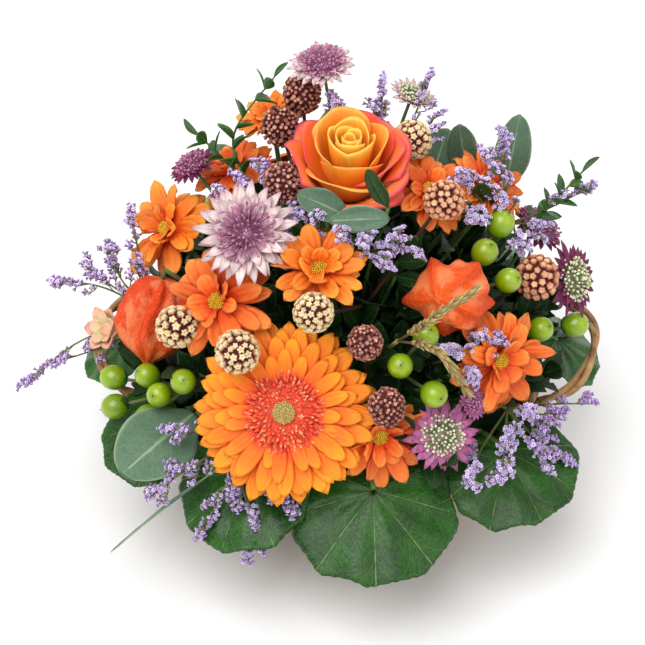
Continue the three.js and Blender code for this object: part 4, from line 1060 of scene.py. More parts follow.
def foam_surface(direction: Vec) -> float:
    """Finds how far the foam's surface is from its heart.

    Args:
        direction: which way, as a vector of length one.

    Returns:
        The distance, to the next whole millimetre.
    """
    radius = inner_radius(FOAM_SHOULDER) - FOAM_LEDGE
    distance = FOAM_NEAREST
    while distance < FOAM_FARTHEST:
        x, y, z = direction * distance
        rise = max(0.0, z - (FOAM_SHOULDER - FOAM_HEART[2]))
        if math.hypot(x / radius, y / radius, rise / FOAM_DOME) >= 1:
            break
        distance += 1.0
    return distance


@dataclass
class Stem:
    """A stem that stands in its hole in the foam and forks to its heads."""

    piece: Piece
    ends: list
    radius: float
    finish: Finish = Finish.GREEN_STEM
    leaves: int = 0

    LEAF = Petal(24, 6.5, base=0.15, widest=0.45, blunt=0.9, curl=0.6, cup=0.15, ribs=0.25, ruffle=0.7,
                 rows=8)

    def build(self) -> None:
        """Builds the stem, its branches and its leaves."""
        ends = np.asarray(self.ends, float)
        middle = ends.mean(axis=0)
        way = unit(middle - FOAM_HEART)
        surface = foam_surface(way)
        root = FOAM_HEART + way * (surface - SEAT_DEPTH)
        out = FOAM_HEART + way * (surface + 3)
        fork = ends[0] if len(ends) == 1 else out + (middle - out) * FORK_SHARE
        self.piece.put(tube(self.bent(root, fork), self.radius, 8), self.finish, tone=0.5)
        for end in ends if len(ends) > 1 else []:
            path = self.bent(fork - way * 1.5, end)
            self.piece.put(tube(path, np.linspace(0.85, 0.7, len(path)) * self.radius, 6), self.finish)
        for i in range(self.leaves):
            self.leaf(out, ends[i % len(ends)])

    def bent(self, start: Vec, end: Vec) -> Vec:
        """A nearly straight path between two points."""
        bow = self.piece.rng.normal(size=3) * 0.012 * np.linalg.norm(end - start)
        return curve([start, (start + end) / 2 + bow, end], 9)

    def leaf(self, out: Vec, end: Vec) -> None:
        """Adds a leaf on the way from the foam to a head.

        Args:
            out: where the stem leaves the foam.
            end: where the branch ends.
        """
        rng = self.piece.rng
        share = rng.uniform(0.05, 0.55) * min(1.0, np.linalg.norm(end - out) / 75)
        lean = unit(end - out) * 0.5 + unit(rng.normal(size=3)) * 0.8
        shape = self.LEAF.shape(rng)
        pose = facing(out + (end - out) * share, lean, rng.uniform(0, TAU)) @ turned("X", math.pi / 2)
        self.piece.put(shape, Finish.FILLER_LEAF, pose @ scaled(rng.uniform(0.7, 1.05)))


@dataclass
class Cluster:
    """Heads, leaves or shoots on one forked stem, as one piece.

    Each kind of cluster sets its own ending, slot, seed, and stem.
    """

    node: str
    heads: list
    leaves: int = 4
    ending: str = "_heads"  # what follows the node's name in the piece's name
    slot: str = "green_stem"
    seed: int = 0
    radius: float = 1.3  # of the stem
    finish: Finish = Finish.GREEN_STEM

    def piece(self) -> Piece:
        """Starts the cluster's piece."""
        return Piece(self.node + self.ending, self.slot, (self.node,), self.seed)

    def build(self) -> None:
        """Builds the heads, then their stem."""
        piece = self.piece()
        for head in self.heads:
            head.build(piece)
        self.stem(piece)
        piece.build()

    def stem(self, piece: Piece) -> None:
        """Forks the stem to the foot of each head."""
        feet = dict.fromkeys(tuple(head.foot()) for head in self.heads)
        Stem(piece, list(feet), self.radius, self.finish, self.leaves).build()


# ---- basket, liner, foam, handles


@dataclass
class Basket:
    """A round basket woven from willow: pairs of rods go in and out of upright stakes."""

    stakes: int = 24
    bands: int = 9
    rod: float = 2.05  # radius of a weaving rod
    stake: float = 1.8
    weave: float = 2.2  # how far a rod runs in and out of the wall's middle
    plait: float = 2.4  # radius of a rod in the rim
    plait_turns: int = 16
    base_rings: int = 18

    def middle(self, height: Vec | float) -> Vec | float:
        """The radius of the wall's middle at a height."""
        return inner_radius(height) + WALL / 2

    def loop(self, reach: Vec, height: Vec | float) -> Vec:
        """A line round the basket, from its radius and height at even steps."""
        return around(reach, np.linspace(0, TAU, len(reach)), height)

    def build(self) -> None:
        """Weaves the wall, the base and the plaited rim."""
        piece = Piece("willow_basket", "willow", ("basket_weave",), 1)
        self.wall(piece)
        self.base(piece)
        self.rim(piece)
        piece.build()

    def wall(self, piece: Piece) -> None:
        """Sets up the stakes and weaves the rods round them, two to a band.

        Args:
            piece: the piece that they belong to.
        """
        for k in range(self.stakes):
            height = np.linspace(2, BASKET_HEIGHT - 5, 8)
            path = around(self.middle(height), k / self.stakes * TAU, height)
            piece.put(tube(path, self.stake, 7), Finish.WILLOW)
        turn = np.linspace(0, TAU, self.stakes * 8 + 1)
        pitch = (BASKET_HEIGHT - WALL / 2) / self.bands
        for band in range(self.bands + 1):
            for side in (-0.25, 0.25):
                height = (band + side) * pitch
                if not self.rod - 0.3 < height < BASKET_HEIGHT - WALL:
                    continue
                weave = np.cos(turn * self.stakes / 2 + (band + 1 + self.stakes / 4) * math.pi)
                sway = piece.rng.normal(0, 0.12, len(turn))
                sway[-1] = sway[0]
                reach = self.middle(height) + self.weave * weave + sway
                piece.put(tube(self.loop(reach, height), self.rod, 9), Finish.WILLOW)

    def base(self, piece: Piece) -> None:
        """Weaves the round base: rings that rise and fall as if over the sticks of a cross, on a flat disc.

        Args:
            piece: the piece that it belongs to.
        """
        turn = np.linspace(0, TAU, self.stakes * 4 + 1)
        for i in range(self.base_rings):
            radius = (BASE_RADIUS - self.rod) * (i + 0.6) / (self.base_rings - 0.4)
            height = self.rod + 0.45 + 0.25 * np.cos(turn * 8 + i * math.pi)
            piece.put(tube(around(radius, turn, height), self.rod + 0.2, 7), Finish.WILLOW)
        disc = ball([(0, 2.2), (BASE_RADIUS - 4, 2.2), (BASE_RADIUS - 4, FLOOR), (0, FLOOR)], 48)
        piece.put(disc, Finish.WILLOW)

    def rim(self, piece: Piece) -> None:
        """Plaits three rods round the rim.

        Args:
            piece: the piece that they belong to.
        """
        turn = np.linspace(0, TAU, self.stakes * 10 + 1)
        for strand in range(3):
            phase = turn * self.plait_turns + strand * TAU / 3
            reach = RIM_RADIUS - WALL / 2 + 1.7 * np.cos(phase)
            height = BASKET_HEIGHT - 4.2 + 2.0 * np.sin(phase)
            piece.put(tube(self.loop(reach, height), self.plait, 9), Finish.WILLOW)


@dataclass
class Handle:
    """A low handle of twisted willow with its ends pushed into the rim."""

    side: int  # -1 is left, 1 is right
    foot: tuple = (101.0, 40.0, 71.0)
    reach: float = 133.0
    apex: float = 84.0
    strand: float = 1.75
    apart: float = 1.7  # how far each strand runs from the line that they twist round
    half_twists: float = 3.5
    peg_depth: float = 10.0

    def spine(self, steps: int) -> Vec:
        """Draws the line that the strands twist round.

        Args:
            steps: how many points it has.

        Returns:
            Its points.
        """
        x, y, z = self.foot
        knee = x + 0.62 * (self.reach - x)
        lift = z + 0.55 * (self.apex - z)
        half = [(x, -y, z), (knee, -0.8 * y, lift), (self.reach, 0, self.apex)]
        points = np.array([*half, *(np.array(half[1::-1]) * [1, -1, 1])])
        return curve(points * [self.side, 1, 1], steps)

    def build(self) -> None:
        """Twists the strands and drives the pegs into the rim."""
        name = "left" if self.side < 0 else "right"
        piece = Piece(f"willow_handle_{name}", "willow", (f"handle_{name}",), 5)
        steps = 90
        spine = self.spine(steps)
        forward = np.gradient(spine, axis=0)
        share = np.linspace(0, 1, steps)
        for strand in range(2):
            turn = share * self.half_twists * math.pi + strand * math.pi
            side = unit(np.cross(forward, [0, 0, 1]))
            other = unit(np.cross(side, forward))
            path = spine + self.apart * (np.cos(turn)[:, None] * side + np.sin(turn)[:, None] * other)
            rod = tube(path, self.strand, 14, lobes=5, groove=0.06)
            piece.put(rod, Finish.WILLOW, tone=0.5 + 0.4 * strand)
        for way in (-1, 1):
            top = np.array([self.side * (self.foot[0] - 0.5), way * (self.foot[1] - 0.5), self.foot[2] + 1])
            foot = top + [-self.side * 3.2, 0, -self.peg_depth]
            piece.put(tube([top, (top + foot) / 2, foot], 1.7, 8), Finish.WILLOW)
        piece.build()


@dataclass
class Filling:
    """The liner and the wet foam that the stems stand in."""

    liner_top: float = BASKET_HEIGHT - 3.0
    liner_skin: float = 1.0
    liner_play: float = 1.4  # between the liner and the wall
    foam_play: float = 4.0  # between the foam and the wall
    foam_bottom: float = FLOOR + 2.0

    def build(self) -> None:
        """Builds the liner's cup and the foam's dome."""
        liner = Piece("liner_cup", "liner_film", ("liner",), 2)
        low, top, skin = FLOOR + 0.5, self.liner_top, self.liner_skin
        foot, lip = inner_radius(low) - self.liner_play, inner_radius(top) - self.liner_play
        cup = [(0, low), (foot, low), (lip, top), (lip - skin, top), (foot - 0.2 - skin, low + skin),
               (0, low + skin)]
        liner.put(ball(cup, 48), Finish.LINER)
        liner.build()
        foam = Piece("foam_block", "floral_foam", ("floral_foam",), 3)
        low, wall = self.foam_bottom, inner_radius(FOAM_SHOULDER)
        rise = np.linspace(0.05, math.pi / 2, 14)
        reach, height = (wall - FOAM_LEDGE) * np.cos(rise), FOAM_SHOULDER + FOAM_DOME * np.sin(rise)
        edge = wall - self.foam_play
        block = [(0, low), (inner_radius(low) - self.foam_play, low), (edge, FOAM_SHOULDER - 1),
                 (edge - 1, FOAM_SHOULDER), *zip(reach, height)]
        foam.put(ball(block, 64), Finish.FOAM)
        foam.build()


# ---- blooms


@dataclass
class Gerbera:
    """The big gerbera at the front: three rows of rays round an eye of coral florets."""

    radius: float = 44.0
    hub: float = 6.0  # how far out the rays start
    buds: int = 150

    def build(self) -> None:
        """Builds the stem, the rays and the eye."""
        pose = facing(GERBERA_AT, GERBERA_AXIS)
        stem = Piece("gerbera_green", "green_stem", ("gerbera_stem",), 11)
        Stem(stem, [applied(pose, [0, 0, -6])], 3.0).build()
        cup = [(0, -9), (3.2, -8), (5.5, -5), (7, -2), (6, -1.6), (0, -1.6)]
        stem.put(ball(cup, 20), Finish.GREEN_STEM, pose)
        stem.whorl(Petal(9, 1.5, blunt=1.2, lift=0.5, rows=4, columns=4), Finish.GREEN_STEM, 20, pose, 2, -7)
        stem.build()
        self.rays(pose)
        self.eye(pose)

    def rays(self, pose: Vec) -> None:
        """Sets the rays in four rows, each a little steeper than the row under it.

        Args:
            pose: the bloom's frame.
        """
        piece = Piece("gerbera_rays_open", "gerbera_ray", ("gerbera_rays",), 12)
        ray = Petal(self.radius - self.hub, 5.4, base=0.34, widest=0.7, blunt=0.6, curl=0.1, cup=0.02,
                    ribs=0.28, rib_count=3.0, ruffle=0.3, notch=0.01, columns=10, rows=14)
        rows = [
            (24, ray, 0.0),
            (23, replace(ray, length=36.5, lift=0.06, half_width=5.2), 0.7),
            (21, replace(ray, length=32, lift=0.12, half_width=4.7), 1.3),
            (20, replace(ray, length=25, lift=0.17, half_width=3.7), 1.8),
        ]
        for row, (count, form, height) in enumerate(rows):
            for i in range(count):
                turn = (i + 0.37 * row + piece.rng.normal(0, 0.09)) / count * TAU
                shape = replace(form, length=form.length * (1 + (0.02 + 0.02 * row) * piece.rng.normal()),
                                lift=form.lift + 0.03 * piece.rng.normal()).shape(piece.rng)
                seat = turned("Z", turn) @ shifted(0, self.hub, height)
                piece.put(shape, Finish.GERBERA_RAY, pose @ seat @ turned("Y", piece.rng.normal(0, 0.06)))
        core = [(0, -1), (self.hub + 1, -0.6), (self.hub + 1, 2), (0, 2.4)]
        piece.put(ball(core, 24), Finish.GERBERA_FLORET, pose)
        piece.build()

    def eye(self, pose: Vec) -> None:
        """Packs florets in rings, from short open ones outside to tight buds in the middle.

        Args:
            pose: the bloom's frame.
        """
        piece = Piece("gerbera_eye_florets", "gerbera_eye", ("gerbera_eye",), 13)
        core = [(0, 1.5), (16.0, 2.0), (17.0, 3.4), (14, 4.0), (9, 4.6), (5.5, 4.5), (3, 4.8), (0, 4.9)]
        piece.put(ball(core, 32), Finish.GERBERA_FLORET, pose, tone=0.2)
        floret = Petal(4.6, 0.75, base=0.5, widest=0.6, blunt=0.8, curl=0.6, cup=0.5, rows=5, columns=4)
        rings = zip(np.linspace(16.4, 6.4, 11), range(54, 20, -3), np.linspace(0.55, 1.25, 11))
        for ring, (radius, count, lift) in enumerate(rings):
            size = 1.0 - 0.05 * ring
            for i in range(count):
                turn = (i + 0.5 * (ring % 2)) / count * TAU + piece.rng.normal(0, 0.04)
                lean = turned("X", lift + piece.rng.normal(0, 0.25)) @ turned("Y", piece.rng.normal(0, 0.35))
                seat = turned("Z", turn + piece.rng.normal(0, 0.1)) @ shifted(0, radius, 3.5) @ lean
                tipped = piece.rng.uniform() < 0.4
                finish = Finish.GERBERA_FLORET_TIPPED if tipped else Finish.GERBERA_FLORET
                piece.put(floret.shape(piece.rng), finish, pose @ seat @ scaled(1, size, 1))
        reach, turn = spiral(self.buds, 0.44)
        poses = [pose @ shifted(*at) for at in around(reach, turn, 4.3 + 0.1 * reach)]
        piece.put(ball(arc(0.5, 2.4, 6), 6), Finish.GERBERA_HEART, poses)
        piece.build()


@dataclass(frozen=True)
class RosePetal:
    """Where one rose petal stands and how it opens, as seen from above with 270 to the front."""

    turn: float  # degrees round the axis
    radius: float  # how far out it bellies
    wrap: float  # how far it wraps round to each side, in radians
    top: float  # the height of its lip
    flare: float = 0.0  # how far its lip turns out
    roll: float = 0.0  # how far its lip curls back down
    peak: float = 0.0  # how far its lip rises to a point


@dataclass
class Rose:
    """The amber rose on the crown, half open, with crimson margins."""

    leaves: list  # on its own stem
    at: tuple = (1, -7, 210)
    axis: tuple = (0, -0.12, 1)
    depth: float = 34.0

    HEART = (
        RosePetal(90, 3.0, 2.3, 7.5), RosePetal(250, 3.8, 2.3, 8.0), RosePetal(20, 5.6, 1.8, 8.8),
        RosePetal(140, 6.4, 1.8, 9.6), RosePetal(262, 7.0, 1.7, 8.2), RosePetal(70, 9.4, 1.5, 11.0, 0.4),
        RosePetal(195, 10.2, 1.5, 9.8, 0.5), RosePetal(318, 10.8, 1.45, 8.0, 0.6),
    )
    MIDDLE = (
        RosePetal(112, 14.8, 1.3, 11.4, 1.6, 0.0, 2.5), RosePetal(186, 15.4, 1.1, 9.4, 1.8, 0.4, 2.0),
        RosePetal(268, 15.6, 1.3, 3.6, 1.4, 0.8), RosePetal(4, 16.2, 1.15, 8.6, 1.6, 0.8),
        RosePetal(252, 20.6, 1.2, -1.5, 3.4, 2.6, 1.5), RosePetal(228, 24.5, 0.8, -8.0, 4.6, 3.6),
    )
    OUTER = (
        RosePetal(52, 20.2, 1.05, 5.0, 2.8, 1.2, 2.0), RosePetal(146, 20.0, 0.95, 3.6, 2.8, 0.8, 3.0),
        RosePetal(338, 21.4, 1.15, 4.4, 3.6, 2.4, 1.5), RosePetal(14, 24.4, 1.0, 3.4, 5.4, 4.2, 2.0),
        RosePetal(84, 24.0, 0.95, -1.0, 5.0, 2.6, 2.0), RosePetal(132, 24.8, 0.85, -2.6, 5.6, 3.6, 2.0),
        RosePetal(190, 24.6, 0.72, 2.2, 6.0, 1.2, 4.5), RosePetal(288, 25.2, 0.95, -9.0, 5.2, 4.6, 1.5),
        RosePetal(328, 26.0, 0.85, -4.0, 5.6, 5.0, 2.0),
    )

    def petal(self, rng: Rng, form: RosePetal) -> Shape:
        """Makes one petal as a curved sheet round the bloom's axis, with its inner face as its top.

        Args:
            rng: what its differences are drawn from.
            form: where it stands and how it opens.

        Returns:
            The petal.
        """
        rows, columns = 20, 22
        v = np.linspace(0, 1, rows + 1)[:, None]
        u = np.linspace(-1, 1, columns + 1)[None, :]
        width = np.sin(math.pi * (0.14 + 0.58 * v)) ** 0.8
        phase = rng.uniform(0, TAU)
        angle = math.radians(form.turn) + u * form.wrap * width
        lip = np.clip((v - 0.66) / 0.34, 0, 1) ** 2
        belly = 0.18 + 0.82 * np.sin(v * math.pi / 2) ** 0.9
        reach = form.radius * belly * (1 + 0.05 * u) + form.flare * lip * (1 + 0.3 * np.cos(2.3 * u + phase))
        reach = reach + 0.05 * form.radius * lip * np.sin(4.5 * u + phase)
        low = 1 - self.depth
        height = low + (form.top - low) * v**0.92 - form.roll * lip**1.6
        height = height - 5.0 * np.abs(u) ** 2.4 * v**1.5 * (form.radius / 20) ** 0.6
        height = height + form.peak * np.exp(-(((u - 0.1) / 0.3) ** 2)) * v**4
        height = height + 0.03 * form.radius * np.sin(3.5 * u + phase) * v**3
        return sheet(around(reach, angle, height)[:, ::-1], 0.7)

    def build(self) -> None:
        """Builds the petals from the tight middle outwards, then the stem and its leaves."""
        pose = facing(self.at, self.axis)
        piece = Piece("rose_bloom", "rose_petal", ("rose_petals",), 21)
        piece.put(ball([(0, -34), (5, -33), (9, -20), (5, -4), (0, 2)], 16), Finish.ROSE_INNER, pose)
        for forms, finish in ((self.HEART, Finish.ROSE_INNER), (self.MIDDLE, Finish.ROSE_AMBER),
                              (self.OUTER, Finish.ROSE_CRIMSON)):
            for form in forms:
                piece.put(self.petal(piece.rng, form), finish, pose)
        piece.build()
        green = Piece("rose_stem_and_leaves", "green_stem", ("rose_stem",), 22)
        Stem(green, [applied(pose, [0, 0, -self.depth - 5])], 2.8, leaves=6).build()
        hip = [(0, -42), (3, -41), (6.5, -38), (6, -35), (0, -34.5)]
        green.put(ball(hip, 16), Finish.GREEN_STEM, pose)
        sepal = Petal(17, 3.0, widest=0.35, blunt=1.2, lift=-0.3, curl=0.5, rows=7)
        green.whorl(sepal, Finish.ROSE_LEAF, 5, pose, 5, -self.depth - 3)
        for turn, length in ((0.4, 34), (2.6, 32), (4.9, 30)):
            form = Petal(length, 9.5, base=0.15, widest=0.45, blunt=0.75, lift=0.38, curl=0.5, cup=0.2,
                         ribs=0.3, ruffle=0.4, waves=6, rows=14, columns=8)
            seat = pose @ turned("Z", turn) @ shifted(0, 1, -self.depth - 10)
            green.put(form.shape(green.rng), Finish.ROSE_LEAF, seat)
        for leaf in self.leaves:
            leaf.build(green)
            Stem(green, [leaf.start], 1.0).build()
        green.build()


@dataclass
class Lantern:
    """A papery lantern: a ribbed husk that ends in a point."""

    node: str
    at: tuple
    tip: tuple  # which way its point looks
    radius: float
    length: float

    # Its outline from foot to tip: reach as a share of the radius, height as a share of the length.
    STATIONS = ((0, -0.5), (0.3, -0.5), (0.62, -0.46), (0.84, -0.3), (0.97, -0.12), (1, 0), (0.95, 0.11),
                (0.82, 0.22), (0.62, 0.31), (0.4, 0.38), (0.2, 0.44), (0.08, 0.5), (0, 0.5))

    def build(self) -> None:
        """Builds the husk and its stalk."""
        pose = facing(self.at, self.tip)
        piece = Piece(self.node + "_husk", "lantern", (self.node,), 31)
        steps = np.linspace(0, len(self.STATIONS) - 1, 49)
        reach, height = (np.interp(steps, range(len(self.STATIONS)), row)[1:-1, None]
                         for row in zip(*self.STATIONS))
        turn = np.arange(100) / 100 * TAU
        sway = turn + 0.25 * np.sin(4 * height + piece.rng.uniform(0, TAU))
        rib = (1 - np.abs(np.sin(2.5 * sway))) ** 1.3
        crumple = sum(
            piece.rng.normal(0, 0.02) * np.sin(k * turn + m * 3 * height + piece.rng.uniform(0, TAU))
            for k in range(2, 12) for m in range(-3, 4)
        )
        reach = reach * self.radius * (0.85 + 0.18 * rib + 0.65 * crumple)
        rings = around(reach, turn, height * self.length)
        shape = ringed(rings, [0, 0, -self.length / 2], [0, 0, self.length / 2])
        shape.across = np.concatenate([rib.reshape(-1), [0, 0]])
        piece.put(shape, Finish.HUSK, pose)
        base, knee = (applied(pose, [0, 0, -self.length / 2 + rise]) for rise in (1, -5))
        piece.put(tube([base, (base + knee) / 2, knee], 1.2, 8), Finish.OLIVE_STEM)
        Stem(piece, [knee], 1.2, Finish.OLIVE_STEM, leaves=4).build()
        piece.build()


@dataclass
class Mum:
    """One chrysanthemum of a spray."""

    at: tuple
    axis: tuple
    radius: float
    finish: Finish = Finish.MUM_ORANGE
    droop: float = 0.35
    rise: float = 0.0  # how far its petals stand up, in radians
    squeezed: float = 0.0  # how much shorter its upper petals are, under a neighbour

    def pose(self) -> Vec:
        """The bloom's frame."""
        return facing(self.at, self.axis)

    def foot(self, depth: float = 0.5) -> Vec:
        """Where its stem ends, at a depth under it."""
        return applied(self.pose(), [0, 0, -depth])

    def build(self, piece: Piece) -> None:
        """Adds the bloom to a piece: three rows of petals and a disc of florets.

        Args:
            piece: the piece that it belongs to.
        """
        pose = self.pose()
        rng = piece.rng
        petal = Petal(self.radius - 3.0, 0.175 * self.radius, base=0.4, widest=0.62, blunt=0.5, cup=0.12,
                      ribs=0.5, rib_count=3.0, ruffle=0.6, notch=0.015, columns=10, rows=11)
        slim = 1 - 0.4 * self.squeezed
        rows = [(12, 1.0, 0.05, 0.0), (10, 0.88, 0.3, 0.8), (7, 0.5, 0.85, 1.2)]
        for row, (count, size, lift, height) in enumerate(rows):
            for i in range(count):
                room = 1 - self.squeezed * max(0.0, math.cos((i + 0.5 * row) / count * TAU))
                form = replace(
                    petal, length=petal.length * size * room * (1 + 0.06 * rng.normal()),
                    half_width=petal.half_width * slim * (1 + 0.1 * rng.normal()),
                    lift=lift + self.rise + 0.16 * rng.normal(), cup=0.2 + 0.25 * rng.normal(),
                    curl=self.droop * (1 + 0.8 * rng.normal()),
                )
                turn = (i + 0.5 * row + 0.2 * rng.normal()) / count * TAU
                seat = turned("Z", turn) @ shifted(0, 3.2, height) @ turned("Y", 0.24 * rng.normal())
                piece.put(form.shape(rng), self.finish, pose @ seat)
        disc = ball([(0, -1.6), (3.2, -1.4), (4.6, 0.4), (4.0, 1.8), (0, 2.6)], 16)
        piece.put(disc, Finish.MUM_DISC, pose)
        reach, turn = spiral(64, 0.53)
        poses = [pose @ shifted(*at) for at in around(reach, turn, 2.3 - 0.04 * reach**2)]
        piece.put(ball(arc(0.5, 1.7, 5), 6), Finish.MUM_DISC, poses)
        sepal = Petal(5, 1.6, blunt=0.9, lift=0.1, rows=4, columns=4)
        piece.whorl(sepal, Finish.GREEN_STEM, 10, pose, 1.5, -2)


@dataclass
class MumSpray(Cluster):
    """Chrysanthemums on one stem, which may be a node of its own."""

    leaves: int = 6
    ending: str = "_bloom"
    slot: str = "mum_petal"
    seed: int = 41
    radius: float = 1.7
    own_stem: bool = True

    def stem(self, piece: Piece) -> None:
        """Builds the stem, where it belongs to the blooms."""
        if self.own_stem:
            super().stem(piece)


@dataclass
class MumStem(Cluster):
    """The stem under chrysanthemums whose petals are nodes of their own."""

    leaves: int = 8
    ending: str = "_green"
    seed: int = 42
    radius: float = 1.7

    def build(self) -> None:
        """Builds the forked stem with its leaves and the cups under the blooms."""
        piece = self.piece()
        Stem(piece, [bloom.foot(4) for bloom in self.heads], self.radius, leaves=self.leaves).build()
        for bloom in self.heads:
            cup = ball([(0, -5.4), (1.8, -5), (3.4, -2.2), (0, -2)], 12)
            piece.put(cup, Finish.GREEN_STEM, bloom.pose())
        piece.build()


@dataclass
class Masterwort:
    """A masterwort head: a ruff of pointed bracts round a dome of pin-like florets."""

    at: tuple
    axis: tuple
    radius: float
    bract: Finish = Finish.BRACT_PALE
    pin: Finish = Finish.PIN
    closed: float = 0.0  # how far the ruff is folded up, in radians
    dome: float = 0.26  # the dome's radius as a share of the ruff's

    def foot(self) -> Vec:
        """Where its stem ends, just under it."""
        return applied(facing(self.at, self.axis), [0, 0, -0.4])

    def build(self, piece: Piece) -> None:
        """Adds the head to a piece.

        Args:
            piece: the piece that it belongs to.
        """
        pose = facing(self.at, self.axis)
        rng = piece.rng
        hub = self.dome * self.radius
        bract = Petal(self.radius - hub, 0.112 * self.radius, base=0.35, widest=0.5, blunt=0.95,
                      lift=0.08 + self.closed, curl=0.2, cup=0.35, ribs=0.16, ruffle=0.15, thickness=0.5)
        for row, (count, size, lift) in enumerate([(20, 1.0, 0.0), (18, 0.82, 0.22), (12, 0.6, 0.45)]):
            for i in range(count):
                form = replace(bract, length=bract.length * size * (1 + 0.07 * rng.normal()),
                               lift=bract.lift + lift + 0.1 * rng.normal())
                turn = (i + 0.5 * row + 0.1 * rng.normal()) / count * TAU
                seat = turned("Z", turn) @ shifted(0, hub, 0.3 * row)
                piece.put(form.shape(rng), self.bract, pose @ seat)
        piece.put(ball([(0, -0.8), (hub, -0.5), (hub, 1), (0, 1.4)], 12), self.pin, pose, tone=0.2)
        length = 0.42 * self.radius
        pin = ball([(0, 0), (0.25, 0.3), (0.2, length * 0.76), (0.62, length * 0.85), (0.68, length * 0.94),
                    (0.25, length), (0, length)], 6)
        poses = []
        count = int(110 * min(1.0, self.radius / 22) * (0.6 + 2 * self.dome))
        for share, turn in zip(*spiral(count, 1 / math.sqrt(count))):
            lean = share * (1.25 - self.closed * 0.5) + 0.12 * rng.normal()
            root = shifted(*around(0.9 * hub * share, turn, 0.5))
            tilt = turned("Z", turn) @ turned("Y", lean)
            poses.append(pose @ root @ tilt @ scaled(1, 1, rng.uniform(0.8, 1.1)))
        piece.put(pin, self.pin, poses)


@dataclass
class MasterwortStem(Cluster):
    """Masterwort heads on one forked stem."""

    slot: str = "masterwort"
    seed: int = 51
    radius: float = 1.2


# ---- heads and berries


@dataclass
class KnobHead:
    """A round head packed with dry knobs, or a brown cone with pointed scales."""

    at: tuple
    radius: float
    cone: bool = False
    rosy: bool = False
    knobs: int = 92
    axis: tuple | None = None  # where its tip points, by default out of the foam

    def star(self, width: float) -> Shape:
        """Makes a knob whose top is a blunt five-lobed star with a dimple.

        Args:
            width: how far its lobes reach.

        Returns:
            The knob.
        """
        turn = np.arange(20) / 20 * TAU
        lobe = np.cos(5 * turn) * (0.5 if self.rosy else 1.0)
        reach, height, lobed = np.array([
            (0.5, -0.9, 0.0), (0.72, -0.3, 0.06), (0.9, 0.35, 0.16), (1.0, 0.8, 0.24), (0.9, 1.15, 0.26),
            (0.55, 1.28, 0.2), (0.24, 1.08, 0.0),
        ]).T[:, :, None]
        rings = around(width * reach * (1 + lobed * lobe), turn, 1.35 * width * height)
        return ringed(rings, [0, 0, -1.2 * width], [0, 0, 1.2 * width])

    def foot(self) -> Vec:
        """Where its stem ends, in its middle."""
        return np.array(self.at, float)

    def build(self, piece: Piece) -> None:
        """Adds the head to a piece.

        Args:
            piece: the piece that it belongs to.
        """
        rng = piece.rng
        pose = facing(self.at, self.axis or np.array(self.at) - FOAM_HEART)
        stretch = (1.42 if self.axis else 1.18) if self.cone else 1.0
        core = 0.84 * self.radius
        heart = ball(arc(core, 2 * core * stretch, 12) - [0, core * stretch], 20)
        # the core is dark as painted shade in the gaps between the knobs
        piece.put(heart, Finish.BUTTON_CORE_SHADE, pose)
        if self.cone:
            count, finish, sizes, sway = 170, Finish.CONE_KNOB, (0.72, 1.22), 0.24
            width = 0.115 * self.radius
            knob = ball(np.array([(0, -0.8), (0.8, -0.5), (0.75, 0.5), (0.7, 1.4), (1.1, 2.1), (0.8, 2.4),
                                  (0.35, 1.9), (0, 1.8)]) * width, 6)
        else:
            count, sizes, sway = self.knobs, (0.86, 1.12), 0.2
            finish = Finish.BUTTON_KNOB_PINK if self.rosy else Finish.BUTTON_KNOB
            knob = self.star(1.55 / math.sqrt(count) * self.radius)
        poses = []
        for way in sphere(count):
            size = rng.uniform(*sizes)
            lean = way * [1, 1, 1 / stretch] + rng.normal(0, sway, 3)
            seat = facing(way * [core, core, core * stretch], lean, rng.uniform(0, TAU))
            poses.append(pose @ seat @ scaled(size))
        piece.put(knob, finish, poses)


@dataclass
class KnobStem(Cluster):
    """Knobbed heads on one forked stem."""

    ending: str = "_knobs"
    slot: str = "button_head"
    seed: int = 61
    finish: Finish = Finish.RED_STEM


@dataclass
class BerryBunch:
    """Glossy berries with small sepals on one forked stem."""

    node: str
    places: list[tuple]
    radius: float = 6.6
    leaves: int = 4

    def build(self) -> None:
        """Builds the berries and their stem."""
        piece = Piece(self.node + "_bunch", "berry", (self.node,), 71)
        rng = piece.rng
        middle = np.mean(self.places, axis=0)
        way = unit(middle - FOAM_HEART)
        out = FOAM_HEART + way * (foam_surface(way) + 3)
        fork = out + (middle - out) * FORK_SHARE
        tall = 1.08 * self.radius
        berry = ball(arc(self.radius, 2 * tall, 18, 0.9) - [0, tall], 28)
        sepal = Petal(6.2, 2.5, base=0.5, widest=0.45, blunt=0.8, lift=0.25, curl=-0.9, rows=5, columns=4,
                      thickness=0.5)
        for place in self.places:
            size = rng.uniform(0.93, 1.03)
            pose = facing(place, np.array(place) - fork, rng.uniform(0, TAU)) @ scaled(size)
            piece.put(berry, Finish.BERRY, pose)
            piece.whorl(sepal, Finish.SPRIG_LEAF, 5, pose, 0.6, -1.12 * self.radius)
            style = ball([(0, 0), (0.35, 0.1), (0.22, 0.8), (0, 1.0)], 6)
            piece.put(style, Finish.RED_STEM, pose @ shifted(0, 0, tall - 0.1))
        Stem(piece, self.places, 1.2, finish=Finish.OLIVE_STEM, leaves=self.leaves).build()
        piece.build()


